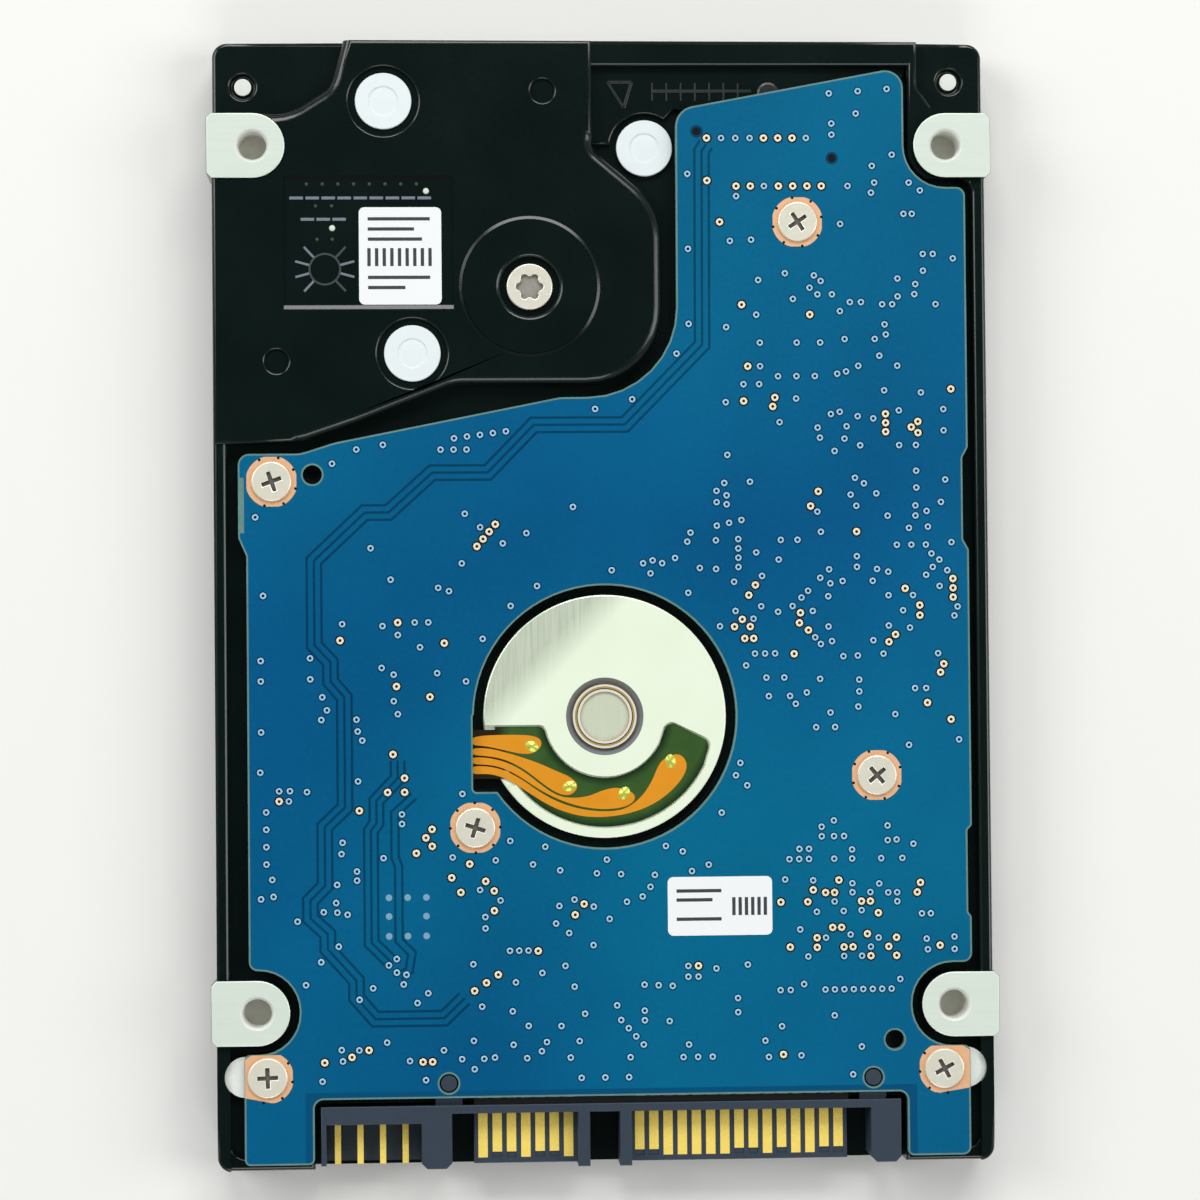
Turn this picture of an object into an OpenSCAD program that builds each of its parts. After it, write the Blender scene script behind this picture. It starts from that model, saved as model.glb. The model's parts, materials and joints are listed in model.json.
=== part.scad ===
// Hard disk drive of the 2.5-inch class, circuit-board side up, resting on its cover.
// X runs across the drive, Y from the connector end to the rear, Z from the cover to the mounting pads.

/* [Disk] */
// Diameter of the disk
disk_d = 65; // [55:0.5:75]
// Thickness of the disk
disk_t = 0.635; // [0.5:0.005:1.3]
// Diameter of the hole in the disk
disk_bore = 20; // [18:0.1:24]
// Gap between the edge of the disk and the wall round it
disk_clear = 0.6; // [0.3:0.05:1.5]

/* [Casting] */
// Wall beside the disk
side_wall = 1.35; // [1.2:0.05:3]
// Wall between the disk and the connector
front_wall = 1; // [0.8:0.05:3]
// Wall at the rear end
rear_wall = 1.6; // [1.3:0.05:4]
// Floor under the disk
floor_t = 0.7; // [0.6:0.05:2]
// Thickness of the raised deck over the actuator
deck_t = 1.1; // [1:0.05:2]
// Width of the rails along the two long sides
rail_w = 1.15; // [0.6:0.05:1.6]
// How far the rails lie below the pads
rail_drop = 0.6; // [0.3:0.05:1]
// How far the deck lies below the pads
pad_rise = 0.2; // [0.1:0.05:0.5]
// Height of the low rear corners over the floor
corner_rise = 0.2; // [0.1:0.05:0.6]
// Radius of the casting's outer corners
corner_r = 1.3; // [0.5:0.1:3]

/* [Mounting] */
// Distance across between the mounting holes
hole_pitch_x = 61.72; // [60:0.01:63]
// Distance along between the mounting holes
hole_pitch_y = 76.6; // [74:0.1:78]
// Distance from the connector end to the first holes
hole_front = 14; // [13:0.1:15]
// Diameter of the tapped mounting holes
hole_d = 2.5; // [2:0.05:2.8]
// Depth of the mounting holes under the pads
hole_depth = 3; // [2:0.1:3.5]
// Distance from the pads down to the side holes
side_hole_drop = 3; // [2.6:0.1:3.6]
// Depth of the side holes
side_hole_depth = 2.5; // [1.5:0.1:2.6]
// Radius of a mounting pad
pad_r = 2.9; // [2.2:0.05:3]
// How far the pads stand out of the long sides
pad_proud = 0.475; // [0.2:0.025:1]

/* [Cover] */
// Sheet thickness of the cover
cover_t = 0.4; // [0.3:0.05:0.8]
// Height of the cover's raised panel over its rim
cover_rise = 0.6; // [0.5:0.05:1]
// Width of the gasket
gasket_w = 0.65; // [0.4:0.05:0.8]
// Thickness of the gasket
gasket_t = 0.25; // [0.15:0.05:0.5]

/* [Circuit board] */
// Thickness of the board
board_t = 0.7; // [0.6:0.05:1.2]
// Gap between the floor and the board
board_gap = 0.9; // [0.8:0.05:2]
// How far the pads stand over the board
pad_over_board = 0.4; // [0.3:0.05:0.8]
// Gap round the mounting pads
board_pad_gap = 0.8; // [0.4:0.05:1.2]
// Radius of the cut-out round the motor
motor_cutout_r = 11.65; // [11.3:0.05:12.5]
// Height of the chips under the board
chip_h = 0.7; // [0.4:0.05:0.75]

/* [Connector] */
// Depth of the connector
conn_depth = 5.74; // [5.5:0.05:8]
// Offset of the contact row from the middle of the drive
conn_x = 4.8; // [4:0.1:5.2]
// Distance between contacts
contact_pitch = 1.27; // [1.2:0.01:1.3]
// Width of a contact
contact_w = 0.84; // [0.5:0.02:0.95]
// Distance from the pads down to the contact face of the tongue
tongue_drop = 2.7; // [2.4:0.05:3]
// Thickness of the tongue
tongue_t = 1.2; // [0.9:0.05:1.4]
// Length of the tongue in front of the back bar
tongue_l = 4.65; // [4:0.05:4.8]
// Distance between jumper pins
jumper_pitch = 2; // [1.6:0.1:2.2]

/* [Motor] */
// Radius of the flange that shows in the board's cut-out
flange_r = 10.8; // [10.5:0.05:11.1]
// Thickness of the flange
flange_t = 1.1; // [0.8:0.05:1.2]
// Diameter of the spindle shaft
shaft_d = 2.5; // [2:0.05:3]
// Radius of the bearing sleeve
sleeve_r = 2.85; // [2.4:0.05:3.1]
// Number of stator teeth
stator_teeth = 9; // [6:3:12]

/* [Actuator] */
// Distance of the pivot to the left of the spindle
pivot_dx = 6.39; // [3:0.01:9]
// Distance from the pivot to the rear end
pivot_rear = 21.94; // [20:0.01:26]
// Radius of the arm block round the pivot
block_r = 5.4; // [5:0.05:7]
// Gap between the arm block and the edge of the disk
block_clear = 0.85; // [0.4:0.05:3]
// Thickness of each arm
arm_t = 0.6; // [0.4:0.05:1]
// Gap between an arm and the disk
arm_gap = 0.515; // [0.45:0.005:1]
// Gap between the cover and the upper arm
arm_cover_gap = 0.685; // [0.6:0.005:1.2]
// Gap between the lower arm and the floor
arm_floor_gap = 0.35; // [0.2:0.05:1]
// How much the heads' reach falls short of the spindle
reach_short = 4.25; // [3:0.05:6]
// Distance of the parked heads from the edge of the disk
park_gap = 2.1; // [1.6:0.05:2.6]
// Radius of the innermost track
inner_track_r = 14.5; // [14:0.1:20]
// Length of an arm
arm_l = 23.5; // [20:0.1:25]
// Radius of the pivot bearing's sleeve
pivot_sleeve_r = 3.88; // [3.4:0.02:4.2]
// Radius of the pivot shaft
pivot_shaft_r = 2; // [1.7:0.05:2.2]

/* [Voice coil] */
// Inner radius of the coil
coil_r0 = 10.5; // [9:0.1:12]
// Gap between the coil and the rear wall
coil_rear_gap = 1.34; // [1.2:0.02:3]
// Half of the coil's angle
coil_half = 20; // [15:0.5:21]
// Thickness of the coil
coil_t = 1.1; // [0.7:0.05:1.3]
// Gap between the coil and the iron on either side
coil_gap = 0.32; // [0.25:0.01:0.4]
// Thickness of the lower yoke
lower_yoke_t = 0.9; // [0.5:0.05:1.1]
// Thickness of the upper yoke
upper_yoke_t = 0.6; // [0.4:0.05:0.65]

/* [Fasteners] */
// Radius of a board screw's head
board_head_r = 1.75; // [1.3:0.05:2]
// Height of a board screw's head
board_head_h = 0.32; // [0.2:0.02:0.36]
// Radius of a board screw's thread
board_thread_r = 0.65; // [0.5:0.05:0.8]
// Radius of a cover screw's head
cover_head_r = 1.6; // [1.2:0.05:1.8]
// Radius of a cover screw's thread
cover_thread_r = 0.75; // [0.6:0.05:0.9]
// Radius of the pivot screw's head
pivot_head_r = 2.04; // [1.6:0.02:2.3]
// Radius of a hole seal
seal_r = 2.5; // [2:0.05:2.6]

/* [Hidden] */
$fn = 96;
// Running and slip fits
fit = 0.02;
running = 0.3;
film = 0.1;
over = 1;

// Plan layout: everything follows from the disk, the walls and the pivot
disk_r = disk_d / 2;
cavity_r = disk_r + disk_clear;
body_w = 2 * (cavity_r + side_wall);
drive_w = body_w + 2 * pad_proud;
motor_front = conn_depth + front_wall + cavity_r;
pivot_dist = disk_r + block_clear + block_r;
pivot_dy = sqrt(pivot_dist ^ 2 - pivot_dx ^ 2);
drive_l = motor_front + pivot_dy + pivot_rear;
front_y = -drive_l / 2;
rear_y = drive_l / 2;
motor = [0, front_y + motor_front];
pivot = [-pivot_dx, motor.y + pivot_dy];
half_w = body_w / 2;
hole_x = hole_pitch_x / 2;
hole_ys = [front_y + hole_front, front_y + hole_front + hole_pitch_y];
pad_y = hole_ys[1];

// Heights, from the cover's outer face at zero to the pads
seat_z = cover_rise + cover_t;
upper_arm_z = cover_t + arm_cover_gap;
disk_z = upper_arm_z + arm_t + arm_gap;
disk_top = disk_z + disk_t;
mid_z = disk_z + disk_t / 2;
lower_arm_z = disk_top + arm_gap;
lower_arm_top = lower_arm_z + arm_t;
floor_in = lower_arm_top + arm_floor_gap;
floor_out = floor_in + floor_t;
board_z = floor_out + board_gap;
board_top = board_z + board_t;
drive_h = board_top + pad_over_board;
deck_z = drive_h - pad_rise;
deck_in = deck_z - deck_t;
rail_z = drive_h - rail_drop;
corner_z = floor_out + corner_rise;
ledge_t = 0.9;
ledge_z = seat_z + ledge_t;

// Swing of the actuator, from parked to the innermost track
head_reach = pivot_dist - reach_short;
function swing_at(r) = acos((head_reach ^ 2 + pivot_dist ^ 2 - r ^ 2) / (2 * head_reach * pivot_dist));
spindle_dir = atan2(motor.y - pivot.y, motor.x - pivot.x);
park_angle = spindle_dir + swing_at(disk_r + park_gap);
travel = swing_at(disk_r + park_gap) - swing_at(inner_track_r);
fan_dir = park_angle + 180;

// Cavity in the casting
actuator_wall = 0.6;
actuator_half_w = hole_x - pad_r - actuator_wall;
actuator_rear = rear_y - rear_wall;
actuator_corner_r = 3;
bay_wall = 2.25;
bay_x = half_w - bay_wall;
bay_floor = floor_in - 0.4;
groove_in = 0.35;

// Rim of the board's pocket and the step of the low corners
rear_rim = 2.2;
front_rim = 1.05;
front_rim_z = board_z - 0.4;
corner_edge_y = pad_y + pad_r;
left_step_x = -hole_x + 8.3;
right_step_x = hole_x - 2.4;

// Screws of the board, its holes and the screws of the cover
screw_xy = [
    pivot + [23.94, 5.73],
    [-half_w + 5.1, pivot.y - 17.22],
    motor + [-11.58, -9.74],
    motor + [24.18, -5.44],
    [-hole_x + 0.85, front_y + 8.3],
    [hole_x - 0.9, front_y + 8.3]
];
screw_turn = [33, 20, 72, 40, 2, 28];
cross_arm = 0.34;
tool_hole_xy = [screw_xy[1] + [3.6, 0.6], screw_xy[5] + [-4.4, 2.6]];
tool_hole_r = 0.85;
cover_screw_xy = [
    [-half_w + 2.7, rear_y - 3.9],
    [half_w - 2.95, rear_y - 3.4],
    [-half_w + 3.2, pivot.y - 6.5],
    [half_w - 3.2, pivot.y - 3],
    [-half_w + 3.9, front_y + 4.4],
    [half_w - 3.9, front_y + 4.4]
];
cover_head_h = 0.45;
breather_xy = [actuator_half_w - 4.4, actuator_rear - 4.2];
cover_thread_l = 3;
corner_tip_drop = 0.3;

// Board outline
board_right = half_w - rail_w - 0.65;
board_left = -half_w + rail_w + 1.7;
board_front = front_y + 0.6;
notch_gap = 0.55;
notch_y = front_y + conn_depth + notch_gap;
standoff_r = 2.2;
oval_r = 1.8;
oval_x = half_w - 2.45;
thread_l = 1.05;
thread_bottom = 0.2;

// Deck outline round the pivot
deck_right = pivot.x + 11.8;
deck_step_x = pivot.x + 5.64;
deck_low = pivot.y - 8.66;
deck_wall = 1.2;
board_deck_gap = 1.22;
board_deck_low = 1.1;

// Insulating film on the floor under the board
insulator_low = [board_left + 4.5, front_y + 10];
insulator_high = [board_right - 5.5, pivot.y - 16.5];
insulator_gap = 0.8;

// Chips, connectors and passives under the board; a row is its first place, step and count
controller_xy = motor + [16.5, 13];
controller_size = [9, 9];
memory_xy = motor + [11, -17];
memory_size = [8, 6];
driver_xy = motor + [-20, 8];
driver_size = [7, 7];
passive_l = 1.2;
passive_w = 0.6;
passive_rows = [
    [motor + [9, 19.5], [2, 0], 6],
    [motor + [-20, 14], [2.2, 0], 5],
    [motor + [-22, -14], [0, -2.2], 5],
    [motor + [-2, -22], [2.4, 0], 4]
];
head_connector_h = 0.4;
head_connector_rim = 0.45;
motor_connector_h = 0.5;
motor_connector_w = 2.6;

// Shelf behind the board and the boss of the bracket screw
shelf_z = floor_out + 0.55;
bracket_thread = 0.8;
boss_z = floor_in + bracket_thread + thread_bottom;

// Connector, from the contact row
row_x = conn_x - 12.5 * contact_pitch;
signal_x = [for (i = [0:6]) row_x + i * contact_pitch];
power_x = [for (i = [0:14]) row_x + (11 + i) * contact_pitch];
long_signal = [0, 3, 6];
long_power = [2, 3, 4, 5, 6, 9, 11, 12];
tongue_margin = 0.8;
lip_h = 0.4;
lip_over = 0.12;
lip_gap = 0.12;
key_w = 1.05;
slot_w = 1.95;
block_w = 2.7;
jumper_bay_w = 8.85;
signal_left = signal_x[0] - tongue_margin;
signal_right = signal_x[6] + tongue_margin;
power_left = power_x[0] - tongue_margin;
power_right = power_x[14] + tongue_margin;
left_block_x = signal_left - slot_w - block_w;
conn_left = left_block_x - jumper_bay_w;
right_block_x = power_right + slot_w;
conn_right = right_block_x + block_w;
conn_back = front_y + conn_depth - 0.14;
bar_t = 0.75;
jumper_bar_t = 1.6;
key_front = front_y + 0.05;
bar_front = conn_back - bar_t;
conn_top = board_top - 0.4;
tongue_top = drive_h - tongue_drop;
contact_t = 0.12;
contact_proud = 0.02;
contact_long = 0.5;
contact_short = 1;
tail_y = conn_back + 1.7;
jumper_x = [for (i = [0:3]) conn_left + jumper_bay_w / 2 + (i - 1.5) * jumper_pitch];
jumper_pin_w = 0.54;
jumper_z = tongue_top - 0.6;
peg_xy = [[left_block_x + 2.45, conn_back + 1.98], [right_block_x + 0.2, conn_back + 1.98]];
peg_r = 0.7;
peg_hole_r = 0.85;

// Motor
flange_top = floor_out + flange_t;
register_r = disk_bore / 2 + 0.3;
hub_r = disk_bore / 2 - fit;
hub_top = disk_z - 0.7;
hub_web_t = 0.8;
skirt_t = 0.93;
skirt_end = floor_out - 0.55;
hub_flange_r = disk_bore / 2 + 2.4;
hub_flange_t = 0.465;
magnet_out_r = hub_r - skirt_t;
rotor_magnet_t = 0.95;
stator_out_r = magnet_out_r - rotor_magnet_t - running;
tube_r = sleeve_r + 0.75;
core_z = hub_top + hub_web_t + 0.7;
core_top = floor_out - 0.7;
winding_over = 0.25;
shaft_r = shaft_d / 2;
shaft_end = flange_top - 0.9;
thrust_t = 0.35;
clamp_t = 0.45;
clamp_head_h = 0.4;
clamp_thread_r = 0.6;
thrust_r = shaft_r + 0.65;
cap_t = 0.2;
cap_r = sleeve_r - 0.69;
flex_pocket_in = sleeve_r + 2.48;
flex_pocket_out = flange_r - 0.85;
flex_t = 0.15;
flex_z = board_z - flex_t;
flex_arc = [198, 334];
flex_edge_y = -0.7;
flex_end_y = [-0.25, -2.2];
flex_open = 217;
flex_tail_x = -flange_r - 5.2;
flex_tail_y = [motor.y - 5.45, motor.y - 1.1];
tail_notch = 6.6;
solder_angles = [201.8, 242.7, 283.7, 325.2];
solder_r = [7, 6.95, 7.05, 7.1];

// Voice coil motor and its posts
coil_r1 = pivot_rear - rear_wall - coil_rear_gap;
coil_z = mid_z - coil_t / 2;
coil_top = mid_z + coil_t / 2;
lower_yoke_z = deck_in - lower_yoke_t;
upper_yoke_top = coil_z - coil_gap;
upper_yoke_z = upper_yoke_top - upper_yoke_t;
magnet_z = coil_top + coil_gap;
fan_first = fan_dir - travel - coil_half;
fan_last = fan_dir + coil_half;
yoke_margin = 0.7;
frame_rim = 0.45;
frame_angle = 3;
frame_in_r = coil_r0 - frame_rim;
fan_arm_w = 2.4;
post_r = 1.2;
yoke_lug_r = 1.85;
yoke_thread_r = 0.7;
yoke_head_h = 0.5;
outer_post_r = coil_r1 + frame_rim + running + post_r;
post_xy = [
    pivot + polar(outer_post_r, fan_dir - 27.6),
    pivot + polar(coil_r1 - 1.5, fan_first - frame_angle - 12.5),
    pivot + polar(coil_r0 + 1.5, fan_last + 34)
];
stop_r = 0.9;
stop_at = coil_r0 + 2.5;
stop_step = asin((stop_r + running) / stop_at);
stop_xy = [
    pivot + polar(stop_at, fan_last + frame_angle + stop_step),
    pivot + polar(stop_at, fan_first - frame_angle - stop_step)
];

// Dimples of the deck, one over the blind thread of a yoke post
dimple_xy = [post_xy[1], pivot + [-22.44, -6.57]];
dimple_r = 1.05;
dimple_depth = 0.3;
thread_cover = dimple_depth + 0.2;

// Seals, labels and marks on the deck
bracket_screw_xy = pivot + [10.38, 12.5];
seal_xy = [post_xy[0], post_xy[2]];
seal_recess_r = seal_r + 0.6;
seal_recess = 0.35;
seal_t = 0.25;
mark_recess = 0.15;
mark_size = [15, 12.05];
mark_centre = pivot + [-14.25, 3.95];
label_t = 0.06;
serial_size = [7.3, 8.65];
serial_centre = pivot + [-11.45, 2.75];
board_label_size = [9.3, 5.2];
board_label_centre = motor + [10.07, -16.9];
pivot_ring_r = 6;
pivot_ring_rise = 0.08;
pivot_recess_r = pivot_head_r + 0.63;
pivot_recess = 0.6;
pivot_head_h = 0.48;
pivot_thread_r = 0.9;

// Pivot bearing
race_t = 0.88;
ball_gap = pivot_sleeve_r - race_t - pivot_shaft_r;
ball_r = ball_gap / 2 - fit;
ball_pitch_r = pivot_shaft_r + ball_gap / 2;
sleeve_ends = [seat_z + 0.2, deck_in - 0.5];

// Arms, suspensions and heads
arm_root_w = 9.2;
arm_tip_w = 3.9;
spring_t = 0.1;
slider = [1, 0.8, 0.3];
tab_l = 1.5;
tab_w = 0.4;

// Air filter beside the disk
filter_size = [1.6, 4.2];
filter_r = disk_r + filter_size.x / 2 + 0.95;
filter_wall = 2.31;
filter_angle = 180 - acos((actuator_half_w - filter_wall) / filter_r);
filter_xy = motor + polar(filter_r, filter_angle);

// Load ramp, on arcs about the pivot
ramp_rail_t = 0.2;
ramp_clear = 0.065;
rail_r0 = head_reach + slider.x / 2 + 0.2;
ramp_body_r = head_reach + slider.x / 2 + tab_l + running;
ramp_out_r = ramp_body_r + 2.5;
ramp_rail_z = upper_arm_z + arm_t + spring_t + ramp_clear;
ramp_foot_t = 0.5;
ramp_screw_xy = pivot + polar(ramp_out_r - 0.8, park_angle + 7.3);

// Latch beside the parked coil
latch_r = coil_r1 - 0.8;
latch_xy = pivot + polar(latch_r, fan_last + frame_angle + 14);
latch_lever_l = 3;
latch_pin_r = 0.6;
latch_clear = 0.05;

// Flex cable from the arm to the bracket
bracket_t = 0.6;
bracket_z = floor_in - bracket_t;
bulkhead_size = [9.6, 3.6];
bulkhead_xy = pivot + [20.9, 11.3];
flex_anchor = 40;
flex_film = 0.15;
flex_low = mid_z - 0.7;
flex_high = mid_z + 0.7;
bracket_post = pivot + [15.6, 9.4];
bracket_low = bracket_screw_xy - [2.2, 4.4];
bracket_high = bulkhead_xy + [6, 3.4];

// Point at a radius and an angle
function polar(r, a) = [r * cos(a), r * sin(a)];

// Half of the angle at p between its neighbours a and b
function half_angle(a, p, b) =
    let (da = [a.x - p.x, a.y - p.y], db = [b.x - p.x, b.y - p.y])
    acos(max(-1, min(1, da * db / norm(da) / norm(db)))) / 2;

// Arc that rounds the corner at p between its neighbours a and b; p is [x, y, radius]
function corner(a, p, b) =
    let (
        at = [p.x, p.y],
        da = [a.x, a.y] - at,
        db = [b.x, b.y] - at,
        u = da / norm(da),
        v = db / norm(db),
        half = half_angle(a, p, b),
        r = p.z
    )
    r < 0.01 || half > 89 ? [at] :
    let (
        centre = at + (u + v) / norm(u + v) * r / sin(half),
        first = at + u * r / tan(half) - centre,
        last = at + v * r / tan(half) - centre,
        a0 = atan2(first.y, first.x),
        turn = atan2(first.x * last.y - first.y * last.x, first * last),
        steps = ceil(abs(turn) / 12)
    )
    [for (i = [0:steps]) centre + polar(r, a0 + turn * i / steps)];

// Closed outline with its corners rounded; a side too short for its two arcs shrinks both
function rounded(points) =
    let (
        n = len(points),
        before = [for (i = [0:n - 1]) points[(i + n - 1) % n]],
        after = [for (i = [0:n - 1]) points[(i + 1) % n]],
        reach = [for (i = [0:n - 1]) points[i].z / tan(half_angle(before[i], points[i], after[i]))],
        room = [for (i = [0:n - 1])
            0.98 * norm([after[i].x - points[i].x, after[i].y - points[i].y])
                / max(reach[i] + reach[(i + 1) % n], film)]
    )
    [for (i = [0:n - 1])
        let (p = points[i], shrink = min(1, room[i], room[(i + n - 1) % n]))
        each corner(before[i], [p.x, p.y, p.z * shrink], after[i])];

// Point at t on a cubic curve
function bezier(p, t) =
    (1 - t) ^ 3 * p[0] + 3 * (1 - t) ^ 2 * t * p[1] + 3 * (1 - t) * t ^ 2 * p[2] + t ^ 3 * p[3];

// Outline of a ribbon of a given thickness along points
function ribbon(points, thick) =
    let (
        n = len(points),
        side = [for (i = [0:n - 1])
            let (d = points[min(i + 1, n - 1)] - points[max(i - 1, 0)])
            [-d.y, d.x] / norm(d) * thick / 2]
    )
    concat(
        [for (i = [0:n - 1]) points[i] + side[i]],
        [for (i = [n - 1:-1:0]) points[i] - side[i]]
    );

module slab(z0, z1) translate([0, 0, z0]) linear_extrude(z1 - z0) children();

module rod(xy, r, z0, z1) translate([xy.x, xy.y, z0]) cylinder(r = r, h = z1 - z0);

module disc2d(xy, r) translate(xy) circle(r);

module box2d(low, high) translate(low) square(high - low);

module plate2d(centre, size) translate(centre) square(size, center = true);

// Rectangle with true round corners
module round_box2d(low, high, r) {
    box2d([low.x + r, low.y], [high.x - r, high.y]);
    box2d([low.x, low.y + r], [high.x, high.y - r]);
    for (x = [low.x + r, high.x - r], y = [low.y + r, high.y - r]) disc2d([x, y], r);
}

// Sector of a ring about the origin, under half a turn in each step of its wedge
module sector2d(r0, r1, a0, a1) {
    steps = ceil((a1 - a0) / 30);
    intersection() {
        difference() {
            circle(r1);
            circle(r0);
        }
        polygon(concat([[0, 0]], [for (i = [0:steps]) polar(2 * r1, a0 + (a1 - a0) * i / steps)]));
    }
}

// Straight bar with round ends
module bar2d(p, q, w) {
    d = q - p;
    translate(p) rotate(atan2(d.y, d.x)) translate([0, -w / 2]) square([norm(d), w]);
    disc2d(p, w / 2);
    disc2d(q, w / 2);
}

module at_pivot(angle) translate([pivot.x, pivot.y, 0]) rotate(angle) children();

// Mirrors a piece to the other face of the disk
module both_faces() {
    children();
    translate([0, 0, 2 * mid_z]) mirror([0, 0, 1]) children();
}

// Six-lobed driver recess
module lobe_recess(r, z0, z1) slab(z0, z1) {
    circle(0.74 * r);
    for (a = [0:60:300]) disc2d(polar(0.7 * r, a), 0.26 * r);
}

// Crossed driver recess
module cross_recess(r, z0, z1) slab(z0, z1)
    for (a = [0, 90]) rotate(a) square([2 * r, cross_arm * r], center = true);

module body2d(inset = 0) {
    low = [-half_w + inset, front_y + inset];
    round_box2d(low, -low, corner_r - inset);
}

// Raised deck over the actuator
module deck2d() {
    polygon(rounded([
        [-half_w - over, pivot.y - 13.95, 0],
        [pivot.x - 20.2, pivot.y - 13.65, 3],
        [pivot.x - 15.3, pivot.y - 12, 4],
        [pivot.x - 6.7, deck_low, 3],
        [deck_right, deck_low, 6.8],
        [deck_right, pivot.y + 7.15, 6],
        [deck_step_x, pivot.y + 12.35, 1.5],
        [deck_step_x, rear_y + over, 0],
        [left_step_x, rear_y + over, 0],
        [left_step_x - 1.3, corner_edge_y + 2.4, 2.5],
        [-hole_x + 3.2, corner_edge_y, 4],
        [-half_w - over, corner_edge_y, 0]
    ]));
}

// Low corners round the rear cover screws
module corners2d() {
    difference() {
        box2d([-half_w - over, corner_edge_y], [left_step_x, rear_y + over]);
        deck2d();
    }
    polygon(rounded([
        [right_step_x, rear_y + over, 0],
        [right_step_x, corner_edge_y + 2.4, 1],
        [right_step_x + 1.8, corner_edge_y, 2],
        [half_w + over, corner_edge_y, 0],
        [half_w + over, rear_y + over, 0]
    ]));
}

// Pocket that holds the board
module pocket2d() difference() {
    union() {
        round_box2d([-half_w + rail_w, front_y + front_rim], [half_w - rail_w, pad_y - pad_r], corner_r);
        box2d([deck_right - 6.8, pad_y - 3 * pad_r], [right_step_x - 0.9, rear_y - rear_rim]);
        difference() {
            box2d([right_step_x - 0.9 - over, pad_y - pad_r - over], [hole_x, pad_y]);
            disc2d([hole_x, pad_y], pad_r + 0.45);
        }
    }
    deck2d();
}

// Hollow for the disk and the actuator, grown by g
module cavity2d(g = 0) {
    disc2d(motor, cavity_r + g);
    round_box2d(
        [-actuator_half_w - g, motor.y],
        [actuator_half_w + g, actuator_rear + g],
        actuator_corner_r + g
    );
    bay2d(g);
}

// Side bay that holds the load ramp
module bay2d(g = 0) round_box2d(
    [actuator_half_w - 4, pivot.y - 20.5 - g],
    [bay_x + g, pivot.y - 7.5 + g],
    1.6 + g
);

// Deeper hollow under the deck
module deep2d() polygon(rounded([
    [-actuator_half_w, pivot.y - 10.5, 2],
    [pivot.x - 15.1, pivot.y - 10.1, 2],
    [pivot.x - 7.1, deck_low + deck_wall + 0.4, 2],
    [deck_right - deck_wall, deck_low + deck_wall + 0.4, 4.3],
    [deck_right - deck_wall, pivot.y + 6.5, 4.5],
    [deck_step_x - deck_wall, pivot.y + 12, 1.5],
    [deck_step_x - deck_wall, actuator_rear, 0.5],
    [left_step_x + 0.6, actuator_rear, 0.5],
    [left_step_x - 0.3, corner_edge_y + 2, 2],
    [-hole_x + 4.6, corner_edge_y - 1, 3],
    [-actuator_half_w, corner_edge_y - 1.5, 0.5]
]));

// Shelf behind the board, cut back round the seal of the bracket screw
module shelf2d() difference() {
    polygon([
        [deck_step_x - 0.5, bracket_screw_xy.y + 0.3],
        [bracket_screw_xy.x, bracket_screw_xy.y + 0.3],
        bracket_screw_xy + [1.6, 2.4],
        [deck_right + 1.25, pivot.y + 16],
        [deck_right + board_deck_gap + 1.6, pivot.y + 15.6],
        [right_step_x - 1.2, rear_y - rear_rim - 0.9],
        [right_step_x - 0.4, rear_y - rear_rim + 0.5],
        [deck_step_x - 0.5, rear_y - rear_rim + 0.5]
    ]);
    disc2d(bracket_screw_xy, seal_recess_r);
}

// Mounting pad with its flat on the long side and its outer corners cut
module pad2d(x, y) {
    side = sign(x);
    out = drive_w / 2;
    cut = 0.45;
    disc2d([x, y], pad_r);
    polygon([
        [x, y - pad_r],
        [side * (out - cut), y - pad_r],
        [side * out, y - pad_r + cut],
        [side * out, y + pad_r - cut],
        [side * (out - cut), y + pad_r],
        [x, y + pad_r]
    ]);
}

// Bare bosses below the two front screws
module ovals2d() for (i = [4, 5])
    bar2d(screw_xy[i], [sign(screw_xy[i].x) * oval_x, screw_xy[i].y], 2 * oval_r);

module connector_bay2d() box2d(
    [conn_left - notch_gap, front_y - over],
    [conn_right + notch_gap, front_y + conn_depth]
);

module base_casting() color([0.09, 0.1, 0.095]) difference() {
    union() {
        difference() {
            union() {
                slab(seat_z, rail_z) body2d();
                slab(seat_z, deck_z) intersection() {
                    body2d();
                    deck2d();
                }
            }
            slab(floor_out, drive_h + over) pocket2d();
            slab(front_rim_z, drive_h + over)
                box2d([-half_w + rail_w, front_y - over], [half_w - rail_w, hole_ys[0] - pad_r]);
            slab(corner_z, drive_h + over) corners2d();
            slab(board_z, drive_h + over) ovals2d();
            slab(ledge_z, drive_h + over) connector_bay2d();
        }
        slab(floor_out - film, board_z) {
            for (i = [0:3]) disc2d(screw_xy[i], standoff_r);
            ovals2d();
        }
        slab(floor_out - film, shelf_z) shelf2d();
        rod(bracket_screw_xy, seal_r + 0.1, floor_out - film, boss_z);
        for (x = [-hole_x, hole_x], y = hole_ys) slab(seat_z, drive_h) pad2d(x, y);
        rod(pivot, pivot_ring_r, deck_in, deck_z + pivot_ring_rise);
    }
    slab(seat_z - over, floor_in) difference() {
        cavity2d();
        difference() {
            bay2d();
            box2d([-actuator_half_w, front_y], [actuator_half_w, rear_y]);
        }
    }
    slab(seat_z - over, bay_floor) bay2d();
    slab(floor_in - film, deck_in) deep2d();
    slab(seat_z - over, seat_z + gasket_t) difference() {
        cavity2d(groove_in + gasket_w);
        cavity2d(groove_in);
    }
    rod(motor, register_r + fit, floor_in - over, floor_out + over);
    slab(floor_in - over, floor_out + over) plate2d(bulkhead_xy, bulkhead_size + [0.6, 0.6]);
    base_holes();
}

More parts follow.
